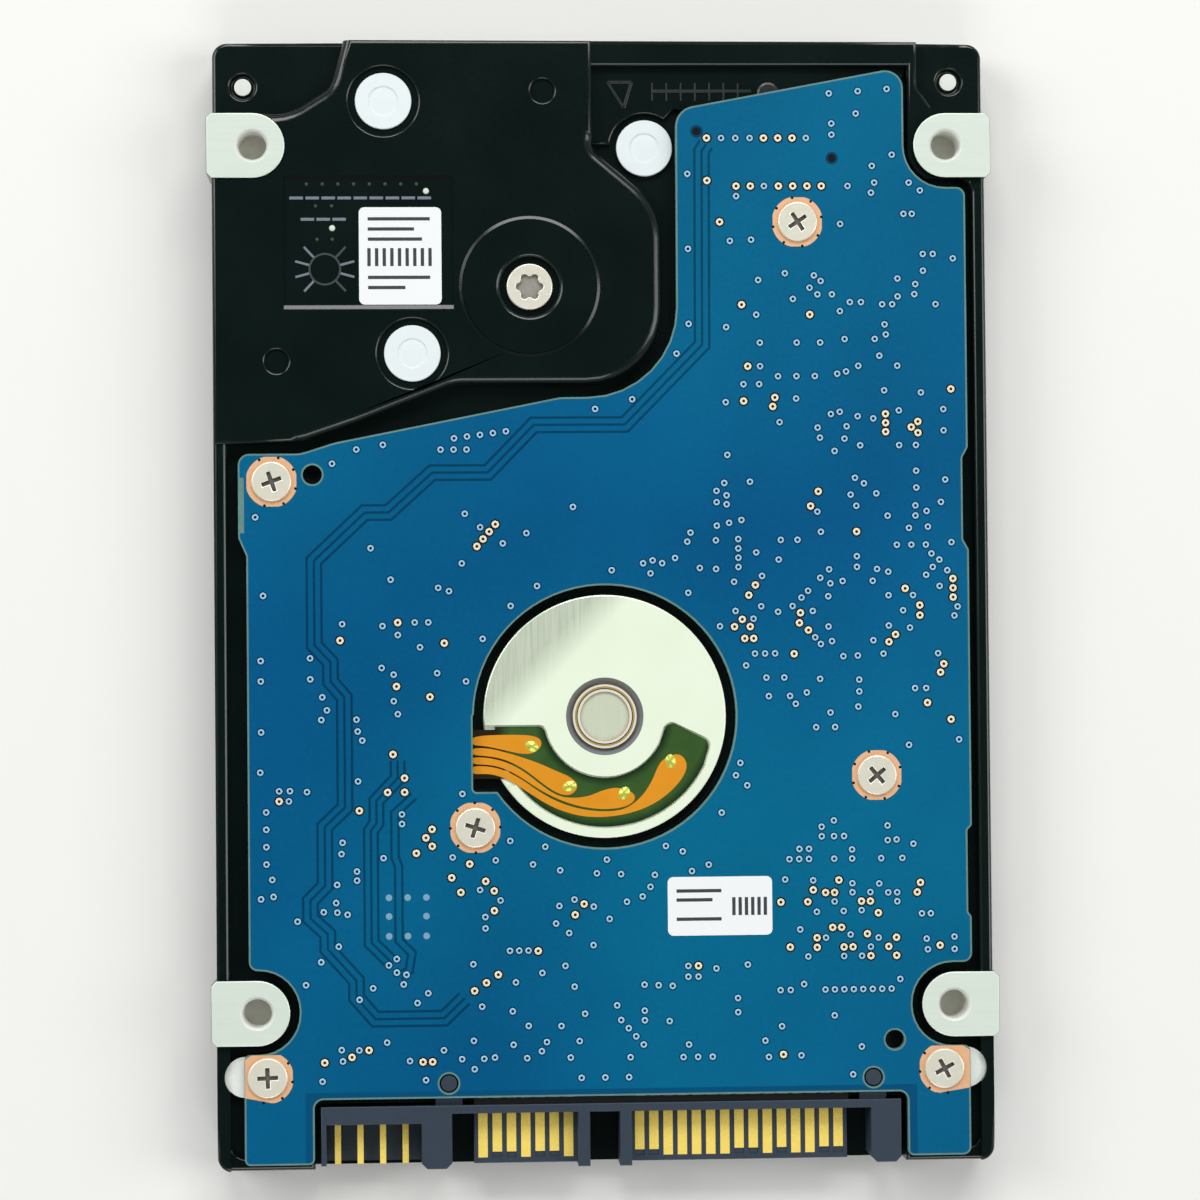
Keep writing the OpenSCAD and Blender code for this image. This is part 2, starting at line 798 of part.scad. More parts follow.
// Tapped holes, counterbores and shallow marks of the casting
module base_holes() {
    for (x = [-hole_x, hole_x], y = hole_ys) rod([x, y], hole_d / 2, drive_h - hole_depth, drive_h + over);
    for (side = [-1, 1], y = hole_ys)
        translate([side * (drive_w / 2 - side_hole_depth), y, drive_h - side_hole_drop])
            rotate([0, side * 90, 0])
                cylinder(d = hole_d, h = side_hole_depth + over);
    for (p = screw_xy) rod(p, board_thread_r, board_z - thread_l - thread_bottom, board_z + over);
    for (i = [0, 1]) {
        rod(cover_screw_xy[i], cover_thread_r, seat_z - over, corner_z + over);
        rod(cover_screw_xy[i], cover_thread_r + 0.4, corner_z - 2 * corner_tip_drop, corner_z + over);
    }
    for (i = [2:5])
        rod(cover_screw_xy[i], cover_thread_r, seat_z - over, seat_z + cover_thread_l + thread_bottom);
    for (p = seal_xy) rod(p, seal_recess_r, deck_z - seal_recess, deck_z + over);
    for (p = seal_xy) rod(p, yoke_thread_r, deck_in - over, deck_z);
    rod(post_xy[1], yoke_thread_r, deck_in - over, deck_z - thread_cover);
    for (p = dimple_xy) rod(p, dimple_r, deck_z - dimple_depth, deck_z + over);
    rod(bracket_screw_xy, yoke_thread_r, floor_in - over, boss_z + film);
    rod(ramp_screw_xy, yoke_thread_r, bay_floor - over, bay_floor + 0.75);
    rod(pivot, pivot_recess_r, deck_z - pivot_recess, deck_z + over);
    rod(pivot, pivot_thread_r + fit, deck_in - over, deck_z);
    slab(deck_z - mark_recess, deck_z + over) difference() {
        plate2d(mark_centre, mark_size);
        disc2d(pivot, pivot_ring_r);
        disc2d(post_xy[2], seal_recess_r + 0.4);
    }
}

// Raised panel of the cover, shrunk by s
module panel2d(s = 0) difference() {
    cavity2d(-0.6 - s);
    disc2d(pivot, cover_head_r + 1.5 + s);
}

module top_cover() color([0.72, 0.73, 0.74]) difference() {
    union() {
        slab(cover_rise, seat_z) body2d(0.25);
        slab(0, cover_rise + film) panel2d();
    }
    slab(cover_t, seat_z + over) panel2d(cover_t);
    for (p = cover_screw_xy) rod(p, cover_thread_r + fit, -over, seat_z + over);
    rod(pivot, cover_thread_r + fit, -over, seat_z + over);
    rod(breather_xy, 0.4, -over, seat_z);
}

module cover_gasket() color([0.12, 0.12, 0.13]) slab(seat_z, seat_z + gasket_t) difference() {
    cavity2d(groove_in + gasket_w);
    cavity2d(groove_in);
}

module cover_screw(xy, thread_end) difference() {
    union() {
        rod(xy, cover_head_r, cover_rise - cover_head_h, cover_rise);
        rod(xy, cover_thread_r, cover_rise - film, thread_end);
    }
    translate(xy) lobe_recess(0.6 * cover_head_r, 0, cover_rise - 0.15);
}

module cover_screws() color([0.75, 0.75, 0.76]) {
    for (i = [0, 1]) cover_screw(cover_screw_xy[i], corner_z - corner_tip_drop);
    for (i = [2:5]) cover_screw(cover_screw_xy[i], seat_z + cover_thread_l);
    cover_screw(pivot, seat_z + 1.5);
}

module breather_filter() color([0.9, 0.9, 0.88]) rod(breather_xy, 2.4, cover_t, cover_t + 0.8);

// Outline of the circuit board
module board2d() {
    notch = pad_r + board_pad_gap;
    deck_x = deck_right + board_deck_gap;
    deck_y = deck_low - board_deck_low;
    rail_step = [pivot.y - 23.6, pivot.y - 14.5];
    difference() {
        polygon(rounded([
            [board_left - 0.45, board_front, 0.5],
            [conn_left - notch_gap, board_front, 0.5],
            [conn_left - notch_gap, notch_y, 0.8],
            [conn_right + notch_gap, notch_y, 0.8],
            [conn_right + notch_gap, board_front, 0.5],
            [board_right - 0.35, board_front, 0.7],
            [board_right - 0.35, hole_ys[0] - notch, 0.5],
            [hole_x - notch, hole_ys[0] - notch, notch],
            [hole_x - notch, hole_ys[0] + notch, notch],
            [board_right - 0.1, hole_ys[0] + notch, 0.8],
            [board_right - 0.1, hole_ys[0] + 7.75, 0.3],
            [board_right - 0.4, hole_ys[0] + 8.15, 0.3],
            [board_right - 0.4, motor.y - 10.4, 0.3],
            [board_right, motor.y - 10, 0.3],
            [board_right, rail_step[0], 0.5],
            [board_right - 0.5, rail_step[0] + 0.9, 0.5],
            [board_right - 0.5, rail_step[1] - 0.9, 0.5],
            [board_right, rail_step[1], 0.5],
            [board_right, pad_y - notch, 0.8],
            [hole_x - notch, pad_y - notch, notch],
            [hole_x - notch, rear_y - rear_rim - 0.1, 1.6],
            [deck_x + 0.1, pivot.y + 15.8, 1.8],
            [deck_x, deck_y, 8],
            [pivot.x + 2.6, deck_y - 0.1, 1.5],
            [pivot.x - 17.4, pivot.y - 13.8, 3],
            [pivot.x - 20.4, pivot.y - 14.75, 3],
            [board_left - 0.7, pivot.y - 14.75, 1],
            [board_left - 0.7, pivot.y - 22.2, 0.6],
            [board_left, pivot.y - 23.8, 0.6],
            [board_left, hole_ys[0] + notch, 0.8],
            [-hole_x + notch, hole_ys[0] + notch, notch],
            [-hole_x + notch, hole_ys[0] - notch, notch],
            [board_left - 0.45, hole_ys[0] - notch, 0.5]
        ]));
        disc2d(motor, motor_cutout_r);
        translate(motor) round_box2d([-motor_cutout_r - film, -tail_notch], [-flex_pocket_in, 0.4], 0.35);
        for (p = screw_xy) disc2d(p, board_thread_r + 0.15);
        for (p = tool_hole_xy) disc2d(p, tool_hole_r);
        for (p = peg_xy) disc2d(p, peg_hole_r);
    }
}

module circuit_board() color([0.03, 0.34, 0.56]) slab(board_z, board_top) board2d();

module insulator_sheet() color([0.1, 0.1, 0.1]) slab(floor_out, floor_out + film) difference() {
    round_box2d(insulator_low, insulator_high, 1.5);
    disc2d(motor, motor_cutout_r + insulator_gap);
    box2d([flex_tail_x - 4, flex_tail_y[0] - 1], [motor.x, flex_tail_y[1] + 1]);
    for (p = screw_xy) disc2d(p, standoff_r + 0.5 * insulator_gap);
}

module board_screw(p, turn) difference() {
    union() {
        rod(p, board_head_r, board_top, board_top + board_head_h);
        rod(p, board_thread_r, board_z - thread_l, board_top + film);
    }
    translate(p) rotate(turn) cross_recess(0.5 * board_head_r, board_top + 0.05, drive_h);
}

module board_screws() color([0.8, 0.8, 0.76])
    for (i = [0:len(screw_xy) - 1]) board_screw(screw_xy[i], screw_turn[i]);

// One spring contact: finger on the tongue, riser in the bar and tail under the board
module contact(x, inset) {
    left = x - contact_w / 2;
    low = tongue_top + contact_proud - contact_t;
    tip_y = bar_front - tongue_l + inset;
    riser_y = conn_back - bar_t / 2;
    translate([left, tip_y, low]) cube([contact_w, riser_y + contact_t - tip_y, contact_t]);
    translate([left, riser_y, low]) cube([contact_w, contact_t, board_z - low]);
    translate([left, riser_y, board_z - contact_t]) cube([contact_w, tail_y - riser_y, contact_t]);
}

module signal_contacts() color([0.85, 0.68, 0.25])
    for (i = [0:6]) contact(signal_x[i], len(search(i, long_signal)) > 0 ? contact_long : contact_short);

module power_contacts() color([0.85, 0.68, 0.25])
    for (i = [0:14]) contact(power_x[i], len(search(i, long_power)) > 0 ? contact_long : contact_short);

module jumper_pin(x) translate([x - jumper_pin_w / 2, front_y + 0.3, jumper_z])
    cube([jumper_pin_w, conn_back - front_y - 0.7, jumper_pin_w]);

module jumper_pins() color([0.85, 0.68, 0.25]) for (x = jumper_x) jumper_pin(x);

// Guide block with its two front corners cut
module guide_block2d(x0) {
    cut = 0.5;
    polygon([
        [x0 + cut, front_y],
        [x0 + block_w - cut, front_y],
        [x0 + block_w, front_y + cut],
        [x0 + block_w, conn_back],
        [x0, conn_back],
        [x0, front_y + cut]
    ]);
}

module connector_housing() color([0.16, 0.18, 0.22]) difference() {
    union() {
        slab(ledge_z, conn_top) {
            box2d([conn_left, bar_front], [conn_right, conn_back]);
            guide_block2d(left_block_x);
            guide_block2d(right_block_x);
            box2d([conn_left, bar_front - jumper_bar_t + bar_t], [left_block_x, conn_back]);
            box2d([conn_left, front_y + 0.4], [conn_left + 0.45, conn_back]);
        }
        slab(tongue_top - tongue_t, tongue_top) {
            box2d([signal_left, bar_front - tongue_l], [signal_right + key_w, conn_back]);
            box2d([power_left - key_w, bar_front - tongue_l], [power_right, conn_back]);
        }
        slab(tongue_top - tongue_t, conn_top) {
            box2d([signal_right, key_front], [signal_right + key_w, conn_back]);
            box2d([power_left - key_w, key_front], [power_left, conn_back]);
        }
        slab(ledge_z, ledge_z + 0.9) box2d([conn_left, front_y + 0.4], [left_block_x, conn_back]);
        for (p = peg_xy) {
            slab(floor_out + 0.15, board_z) box2d([p.x - 1.2, conn_back - bar_t], [p.x + 1.2, p.y + 1.1]);
            rod(p, peg_r, board_z - film, board_top - film);
        }
        slab(board_z - lip_h, board_z + lip_over)
            box2d([signal_left, conn_back - film], [power_right, notch_y - lip_gap]);
    }
    for (i = [0:6]) contact(signal_x[i], contact_long);
    for (i = [0:14]) contact(power_x[i], contact_long);
    for (x = jumper_x) jumper_pin(x);
}

// Chip with its top seated on the underside of the board
module chip(centre, size) slab(board_z - chip_h, board_z) plate2d(centre, size);

module controller_chip() color([0.1, 0.1, 0.11]) chip(controller_xy, controller_size);

module memory_chip() color([0.1, 0.1, 0.11]) chip(memory_xy, memory_size);

module motor_driver_chip() color([0.1, 0.1, 0.11]) chip(driver_xy, driver_size);

module board_passives() color([0.55, 0.45, 0.35]) for (row = passive_rows, i = [0:row[2] - 1])
    chip(row[0] + i * row[1], row[1].x == 0 ? [passive_l, passive_w] : [passive_w, passive_l]);

module head_connector() color([0.8, 0.77, 0.68]) slab(board_z - head_connector_h, board_z)
    plate2d(bulkhead_xy, bulkhead_size + 2 * [head_connector_rim, head_connector_rim]);

module bulkhead_connector() color([0.2, 0.2, 0.21])
    slab(floor_in, board_z - head_connector_h) plate2d(bulkhead_xy, bulkhead_size);

module motor_connector() color([0.85, 0.83, 0.75]) slab(board_z - motor_connector_h, board_z)
    box2d([flex_tail_x - motor_connector_w, flex_tail_y[0]], [flex_tail_x, flex_tail_y[1]]);

module solder_points(r, z0, z1)
    for (i = [0:3]) rod(motor + polar(solder_r[i], solder_angles[i]), r, z0, z1);

// Pocket of the motor flex about the spindle, shrunk by s
module flex_pocket2d(s = 0) {
    near = flex_pocket_in + s;
    far = flex_pocket_out - s;
    sector2d(near, far, flex_arc[0], flex_arc[1]);
    polygon(rounded([
        [-far, flex_edge_y - s, 0],
        [-near, flex_edge_y - s, 0.7],
        [each polar(near, flex_arc[0] + 1), 0],
        [each polar(far, flex_arc[0] + 1), 0]
    ]));
    polygon(rounded([
        [each polar(near, flex_arc[1] - 1), 0],
        [near + 0.12, flex_end_y[0] - s, 0.8],
        [far - 0.4, flex_end_y[1] - s, 0.8],
        [each polar(far, flex_arc[1] - 1), 0]
    ]));
}

// Flange that carries the motor in the casting
module motor_flange() color([0.8, 0.8, 0.79]) difference() {
    union() {
        rod(motor, flange_r, floor_out, flange_top);
        rod(motor, register_r, floor_out - 0.4, floor_out + film);
        rod(motor, tube_r, core_z - 0.4, floor_out + film);
    }
    translate(motor) slab(floor_out - over, floor_out) difference() {
        circle(register_r - 1.1);
        circle(tube_r);
    }
    rod(motor, sleeve_r, floor_in - 3, flange_top + over);
    translate(motor) slab(flex_z, flange_top + over) {
        flex_pocket2d();
        polygon([
            [-flange_r - 1, flex_edge_y],
            [1 - flex_pocket_out, flex_edge_y],
            polar(flex_pocket_out - 1, flex_open),
            polar(flange_r + 1, flex_open)
        ]);
    }
    solder_points(0.4, floor_out - over, flex_z + film);
}

module motor_flex() color([0.86, 0.55, 0.15]) slab(flex_z, board_z) {
    translate(motor) flex_pocket2d(flex_t);
    box2d([flex_tail_x, flex_tail_y[0]], [1 - flex_pocket_out, flex_tail_y[1]]);
}

module bearing_sleeve() color([0.75, 0.62, 0.35]) difference() {
    rod(motor, sleeve_r, core_z - 0.5, flange_top - 0.05);
    rod(motor, shaft_r + fit, core_z - over, flange_top);
    rod(motor, thrust_r + 0.1, shaft_end - 0.05, flange_top);
    rod(motor, cap_r, shaft_end + thrust_t + 0.1, flange_top + over);
}

module bearing_cap() color([0.82, 0.82, 0.8])
    rod(motor, cap_r, shaft_end + thrust_t + 0.1, shaft_end + thrust_t + 0.1 + cap_t);

module stator_core() color([0.5, 0.5, 0.52]) translate(motor) slab(core_z, core_top) difference() {
    union() {
        circle(tube_r + 1.1);
        for (i = [0:stator_teeth - 1]) rotate(i * 360 / stator_teeth) {
            translate([tube_r, -0.55]) square([stator_out_r - tube_r - 0.5, 1.1]);
            sector2d(stator_out_r - 0.7, stator_out_r, -14, 14);
        }
    }
    circle(tube_r);
}

module stator_coils() color([0.72, 0.4, 0.2]) translate(motor)
    for (i = [0:stator_teeth - 1]) rotate(i * 360 / stator_teeth) difference() {
        slab(core_z - winding_over, core_top + winding_over)
            translate([tube_r + 1.25, -0.9]) square([stator_out_r - tube_r - 2.1, 1.8]);
        slab(core_z, core_top) translate([tube_r, -0.55]) square([stator_out_r, 1.1]);
    }

// Spindle hub, turned about the motor axis
module spindle_hub() color([0.78, 0.79, 0.8]) translate(motor) rotate_extrude() polygon([
    [shaft_r, hub_top],
    [hub_r, hub_top],
    [hub_r, disk_top],
    [hub_flange_r, disk_top],
    [hub_flange_r, disk_top + hub_flange_t],
    [hub_r, disk_top + hub_flange_t],
    [hub_r, skirt_end],
    [magnet_out_r, skirt_end],
    [magnet_out_r, hub_top + hub_web_t],
    [shaft_r, hub_top + hub_web_t]
]);

module spindle_shaft() color([0.85, 0.85, 0.86]) difference() {
    rod(motor, shaft_r, hub_top, shaft_end);
    rod(motor, clamp_thread_r, hub_top - over, hub_top + 1.6);
}

module thrust_plate() color([0.8, 0.8, 0.82]) rod(motor, thrust_r, shaft_end, shaft_end + thrust_t);

module rotor_magnet() color([0.35, 0.35, 0.37]) difference() {
    rod(motor, magnet_out_r, core_z - 0.2, skirt_end - 0.05);
    rod(motor, magnet_out_r - rotor_magnet_t, core_z - over, skirt_end + over);
}

module disk() color([0.88, 0.89, 0.9]) difference() {
    rod(motor, disk_r, disk_z, disk_top);
    rod(motor, disk_bore / 2, disk_z - over, disk_top + over);
}

module disk_clamp() color([0.7, 0.71, 0.72]) difference() {
    rod(motor, hub_flange_r - 0.4, hub_top - clamp_t, disk_z);
    translate(motor) slab(hub_top, disk_z + over) circle(hub_flange_r - 1.5);
    rod(motor, clamp_thread_r + fit, hub_top - over, hub_top + over);
}

module clamp_screw() color([0.6, 0.6, 0.62]) difference() {
    union() {
        rod(motor, 2, hub_top - clamp_t - clamp_head_h, hub_top - clamp_t);
        rod(motor, clamp_thread_r, hub_top - clamp_t - film, hub_top + 1.4);
    }
    translate(motor) lobe_recess(1.1, hub_top - clamp_t - clamp_head_h - over, hub_top - clamp_t - 0.1);
}

// Plan of one arm, along +X from the pivot
module arm2d() difference() {
    union() {
        polygon([
            [0, -arm_root_w / 2],
            [arm_l, -arm_tip_w / 2],
            [arm_l, arm_tip_w / 2],
            [0, arm_root_w / 2]
        ]);
        disc2d([arm_l, 0], arm_tip_w / 2);
        circle(block_r);
    }
    polygon(rounded([
        [block_r + 2.2, -1.9, 0.7],
        [arm_l - 5, -0.95, 0.7],
        [arm_l - 5, 0.95, 0.7],
        [block_r + 2.2, 1.9, 0.7]
    ]));
    disc2d([arm_l, 0], 0.8);
}

module arm_block() color([0.78, 0.79, 0.8]) at_pivot(park_angle) difference() {
    union() {
        slab(upper_arm_z, upper_arm_z + arm_t) arm2d();
        slab(lower_arm_z, lower_arm_top) arm2d();
        slab(upper_arm_z, lower_arm_top) circle(block_r);
        slab(coil_z, coil_top) intersection() {
            circle(frame_in_r);
            for (s = [-1, 1]) bar2d([0, 0], polar(coil_r0 + 2, 180 + s * coil_half * 0.75), fan_arm_w);
        }
    }
    rod([0, 0], pivot_sleeve_r + fit, upper_arm_z - over, lower_arm_top + over);
}

module coil_plan2d(r0, r1, half) sector2d(r0, r1, 180 - half, 180 + half);

module voice_coil() color([0.75, 0.42, 0.2]) at_pivot(park_angle) slab(coil_z, coil_top) difference() {
    coil_plan2d(coil_r0, coil_r1, coil_half);
    coil_plan2d(coil_r0 + 2.7, coil_r1 - 2.6, coil_half * 0.45);
}

module coil_frame() color([0.15, 0.15, 0.16]) at_pivot(park_angle) slab(coil_z, coil_top) difference() {
    coil_plan2d(frame_in_r, coil_r1 + frame_rim, coil_half + frame_angle);
    coil_plan2d(coil_r0, coil_r1, coil_half);
}

// Flat spring arms that carry the heads, with the tab that rides on the ramp
module suspensions() color([0.83, 0.83, 0.84]) at_pivot(park_angle) both_faces()
    slab(upper_arm_z + arm_t, upper_arm_z + arm_t + spring_t) difference() {
        union() {
            polygon([
                [arm_l - 1.8, -arm_tip_w / 2],
                [arm_l + 1.8, -arm_tip_w / 2],
                [head_reach + slider.x / 2, -slider.y / 2],
                [head_reach + slider.x / 2, slider.y / 2],
                [arm_l + 1.8, arm_tip_w / 2],
                [arm_l - 1.8, arm_tip_w / 2]
            ]);
            box2d([head_reach, -tab_w / 2], [head_reach + slider.x / 2 + tab_l, tab_w / 2]);
        }
        disc2d([arm_l, 0], 0.8);
    }

module read_heads() color([0.25, 0.25, 0.27]) at_pivot(park_angle) both_faces()
    slab(upper_arm_z + arm_t + spring_t, upper_arm_z + arm_t + spring_t + slider.z)
        plate2d([head_reach, 0], [slider.x, slider.y]);

module pivot_shaft() color([0.7, 0.71, 0.73]) difference() {
    union() {
        rod(pivot, pivot_shaft_r, seat_z, deck_in);
        rod(pivot, pivot_sleeve_r - 0.9, deck_in - 0.35, deck_in);
    }
    rod(pivot, pivot_thread_r, deck_in - 2.1, deck_in + over);
    rod(pivot, cover_thread_r, seat_z - over, seat_z + 1.7);
}

module pivot_screw() color([0.8, 0.8, 0.77]) difference() {
    union() {
        rod(pivot, pivot_head_r, deck_z - pivot_recess, deck_z - pivot_recess + pivot_head_h);
        rod(pivot, pivot_thread_r, deck_in - 1.8, deck_z - pivot_recess + film);
    }
    translate(pivot) lobe_recess(0.62 * pivot_head_r, deck_z - pivot_recess + 0.12, deck_z + over);
}

module pivot_sleeve() color([0.72, 0.73, 0.75]) difference() {
    rod(pivot, pivot_sleeve_r, sleeve_ends[0], sleeve_ends[1]);
    rod(pivot, pivot_sleeve_r - race_t, sleeve_ends[0] - over, sleeve_ends[1] + over);
}

module pivot_balls() color([0.85, 0.85, 0.87])
    for (z = [sleeve_ends[0] + 0.7, sleeve_ends[1] - 0.7], i = [0:7])
        translate([pivot.x, pivot.y, z]) rotate(i * 45) translate([ball_pitch_r, 0, 0]) sphere(ball_r);

// Plan of a yoke plate with lugs at the given points
module yoke2d(lugs) {
    translate(pivot)
        sector2d(coil_r0 - yoke_margin, coil_r1 + yoke_margin / 2, fan_first - 1.5, fan_last + 1.5);
    for (p = lugs) {
        d = p - pivot;
        a = max(fan_first + 4, min(fan_last - 4, atan2(d.y, d.x) + (d.y < 0 ? 360 : 0)));
        r = max(coil_r0 + yoke_lug_r, min(coil_r1 - yoke_lug_r, norm(d)));
        bar2d(p, pivot + polar(r, a), 2 * yoke_lug_r);
    }
}

module lower_yoke() color([0.68, 0.69, 0.7]) difference() {
    slab(lower_yoke_z, deck_in) yoke2d(concat(post_xy, stop_xy));
    for (p = post_xy) rod(p, yoke_thread_r + fit, lower_yoke_z - over, deck_in + over);
}

module upper_yoke() color([0.68, 0.69, 0.7]) difference() {
    slab(upper_yoke_z, upper_yoke_top) yoke2d(post_xy);
    for (p = post_xy) rod(p, yoke_thread_r + fit, upper_yoke_z - over, upper_yoke_top + over);
}

module coil_magnet() color([0.55, 0.56, 0.58]) translate(pivot) slab(magnet_z, lower_yoke_z)
    sector2d(coil_r0, coil_r1, fan_first, fan_last);

module yoke_posts() color([0.75, 0.75, 0.76]) for (p = post_xy) difference() {
    rod(p, post_r, upper_yoke_top, lower_yoke_z);
    rod(p, yoke_thread_r + fit, upper_yoke_top - over, lower_yoke_z + over);
}

module yoke_screws() color([0.6, 0.6, 0.62]) for (p = post_xy) difference() {
    union() {
        rod(p, post_r + 0.3, upper_yoke_z - yoke_head_h, upper_yoke_z);
        rod(p, yoke_thread_r, upper_yoke_z - film, deck_z - thread_cover - film);
    }
    translate(p) lobe_recess(0.8, upper_yoke_z - yoke_head_h - over, upper_yoke_z - 0.15);
}

module crash_stops() color([0.1, 0.1, 0.1])
    for (p = stop_xy) rod(p, stop_r, upper_yoke_top + film, lower_yoke_z);

module load_ramp() color([0.9, 0.88, 0.8]) difference() {
    at_pivot(park_angle) {
        both_faces() slab(ramp_rail_z, ramp_rail_z + ramp_rail_t) sector2d(rail_r0, ramp_body_r + 0.5, -9, 4);
        slab(ramp_rail_z - 0.35, bay_floor) sector2d(ramp_body_r, ramp_out_r, -3, 4);
        slab(bay_floor - ramp_foot_t, bay_floor) sector2d(ramp_body_r + 0.2, ramp_out_r + 0.2, 3.5, 10);
    }
    rod(ramp_screw_xy, yoke_thread_r, ramp_rail_z, floor_out);
}

// Small screw with its head towards the cover
module inner_screw(xy, seat, length) difference() {
    union() {
        rod(xy, 1.15, seat - 0.4, seat);
        rod(xy, yoke_thread_r - fit, seat - film, seat + length);
    }
    translate(xy) cross_recess(0.6, seat - over, seat - 0.15);
}

module inner_screws() color([0.62, 0.62, 0.64]) {
    inner_screw(ramp_screw_xy, bay_floor - ramp_foot_t, ramp_foot_t + 0.6);
    inner_screw(bracket_screw_xy, bracket_z, bracket_t + bracket_thread);
}

module recirculation_filter() color([0.92, 0.92, 0.9])
    slab(seat_z + 0.3, floor_in) translate(filter_xy) rotate(filter_angle) square(filter_size, center = true);

module desiccant_pack() color([0.88, 0.87, 0.84])
    slab(floor_in - 1.6, floor_in) plate2d([actuator_half_w - 4.6, pivot.y + 1.5], [6, 7]);

module flex_bracket() color([0.7, 0.71, 0.72]) difference() {
    union() {
        slab(bracket_z, floor_in) box2d(bracket_low, bracket_high);
        slab(flex_low, bracket_z + film) box2d(bracket_post + [flex_film / 2, -1], bracket_post + [0.9, 1.6]);
    }
    rod(bracket_screw_xy, yoke_thread_r, bracket_z - over, floor_in + over);
}

// Ribbon cable in its loop between the arm block and the bracket
module flex_loop() color([0.8, 0.5, 0.15]) {
    start = pivot + polar(block_r + 1.5 * flex_film, flex_anchor);
    ends = [start, start + polar(5.5, flex_anchor - 35), bracket_post + [0, -6.5], bracket_post + [0, 1.4]];
    slab(flex_low, flex_high) polygon(ribbon([for (i = [0:24]) bezier(ends, i / 24)], flex_film));
}

module arm_flex() color([0.8, 0.5, 0.15]) translate(pivot) slab(flex_low, flex_high)
    sector2d(block_r, block_r + flex_film, flex_anchor - 50, flex_anchor + 6);

module preamp_chip() color([0.1, 0.1, 0.11]) at_pivot(flex_anchor - 30)
    slab(mid_z - 0.55, mid_z + 0.55) box2d([block_r + flex_film, -0.8], [block_r + flex_film + 0.4, 0.8]);

module hole_seals() color([0.93, 0.94, 0.92]) {
    for (p = seal_xy) rod(p, seal_r, deck_z - seal_recess, deck_z - seal_recess + seal_t);
    rod(bracket_screw_xy, seal_r, boss_z, boss_z + seal_t);
}

module serial_label() color([0.94, 0.94, 0.92])
    slab(deck_z - mark_recess, deck_z - mark_recess + label_t) plate2d(serial_centre, serial_size);

module board_label() color([0.94, 0.94, 0.92])
    slab(board_top, board_top + label_t) plate2d(board_label_centre, board_label_size);

module latch_pin() color([0.75, 0.75, 0.76]) {
    rod(latch_xy, latch_pin_r + 0.5, coil_top + film, deck_in);
    rod(latch_xy, latch_pin_r, coil_z - 0.25, coil_top + film);
}

module latch_lever() color([0.2, 0.2, 0.21]) translate(latch_xy) difference() {
    slab(coil_z, coil_top) {
        circle(latch_pin_r + 0.8);
        rotate(fan_dir - 57) bar2d([0, 0], [latch_lever_l, 0], 1);
        rotate(fan_dir + 100) bar2d([0, 0], [1.8, 0], 1.4);
    }
    rod([0, 0], latch_pin_r + latch_clear, coil_z - over, coil_top + over);
}

base_casting();
top_cover();
cover_gasket();
cover_screws();
breather_filter();
circuit_board();
insulator_sheet();
board_screws();
connector_housing();
signal_contacts();
power_contacts();
jumper_pins();
controller_chip();
memory_chip();
motor_driver_chip();
board_passives();
head_connector();
motor_connector();
motor_flange();
motor_flex();
bearing_sleeve();
bearing_cap();
stator_core();
stator_coils();
pivot_shaft();
pivot_screw();
lower_yoke();
upper_yoke();
coil_magnet();
yoke_posts();
yoke_screws();
crash_stops();
load_ramp();
inner_screws();
recirculation_filter();
desiccant_pack();
flex_bracket();
bulkhead_connector();
flex_loop();
hole_seals();
serial_label();
board_label();
latch_pin();
latch_lever();
spindle_hub();
spindle_shaft();
thrust_plate();
rotor_magnet();
disk();
disk_clamp();
clamp_screw();
arm_block();
pivot_sleeve();
pivot_balls();
voice_coil();
coil_frame();
suspensions();
read_heads();
arm_flex();
preamp_chip();
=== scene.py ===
import json
import math

import bmesh
import bpy
from mathutils import Matrix, Vector
from mathutils.bvhtree import BVHTree


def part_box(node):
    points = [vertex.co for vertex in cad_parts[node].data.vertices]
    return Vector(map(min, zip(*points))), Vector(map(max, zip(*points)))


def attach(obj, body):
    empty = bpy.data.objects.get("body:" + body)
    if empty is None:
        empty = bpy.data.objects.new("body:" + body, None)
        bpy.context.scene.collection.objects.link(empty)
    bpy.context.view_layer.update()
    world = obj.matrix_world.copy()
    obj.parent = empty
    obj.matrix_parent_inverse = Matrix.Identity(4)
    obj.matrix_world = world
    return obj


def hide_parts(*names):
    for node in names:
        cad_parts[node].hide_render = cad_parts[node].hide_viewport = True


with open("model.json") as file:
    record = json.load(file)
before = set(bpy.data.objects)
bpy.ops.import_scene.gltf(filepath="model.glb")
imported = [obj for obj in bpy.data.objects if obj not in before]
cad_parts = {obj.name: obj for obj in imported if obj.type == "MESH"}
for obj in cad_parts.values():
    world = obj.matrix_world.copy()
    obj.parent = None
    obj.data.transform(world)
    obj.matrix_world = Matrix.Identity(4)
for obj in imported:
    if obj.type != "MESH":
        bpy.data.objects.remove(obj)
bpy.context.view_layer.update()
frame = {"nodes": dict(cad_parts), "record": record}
mm = 0.001  # places and sizes below are written in millimetres
print("frame loaded with", len(frame["nodes"]), "nodes")


# colours are written as 0-255 values, as a colour picker shows them
def tint(red, green, blue, depth=1.0):
    def linear(part):
        part = part / 255
        return part / 12.92 if part < 0.0405 else ((part + 0.055) / 1.055) ** 2.4

    return (linear(red) * depth, linear(green) * depth, linear(blue) * depth, 1.0)


# the same colour, darker or lighter
def shade(colour, depth):
    return tuple(min(1.0, part * depth) for part in colour[:3]) + (1.0,)


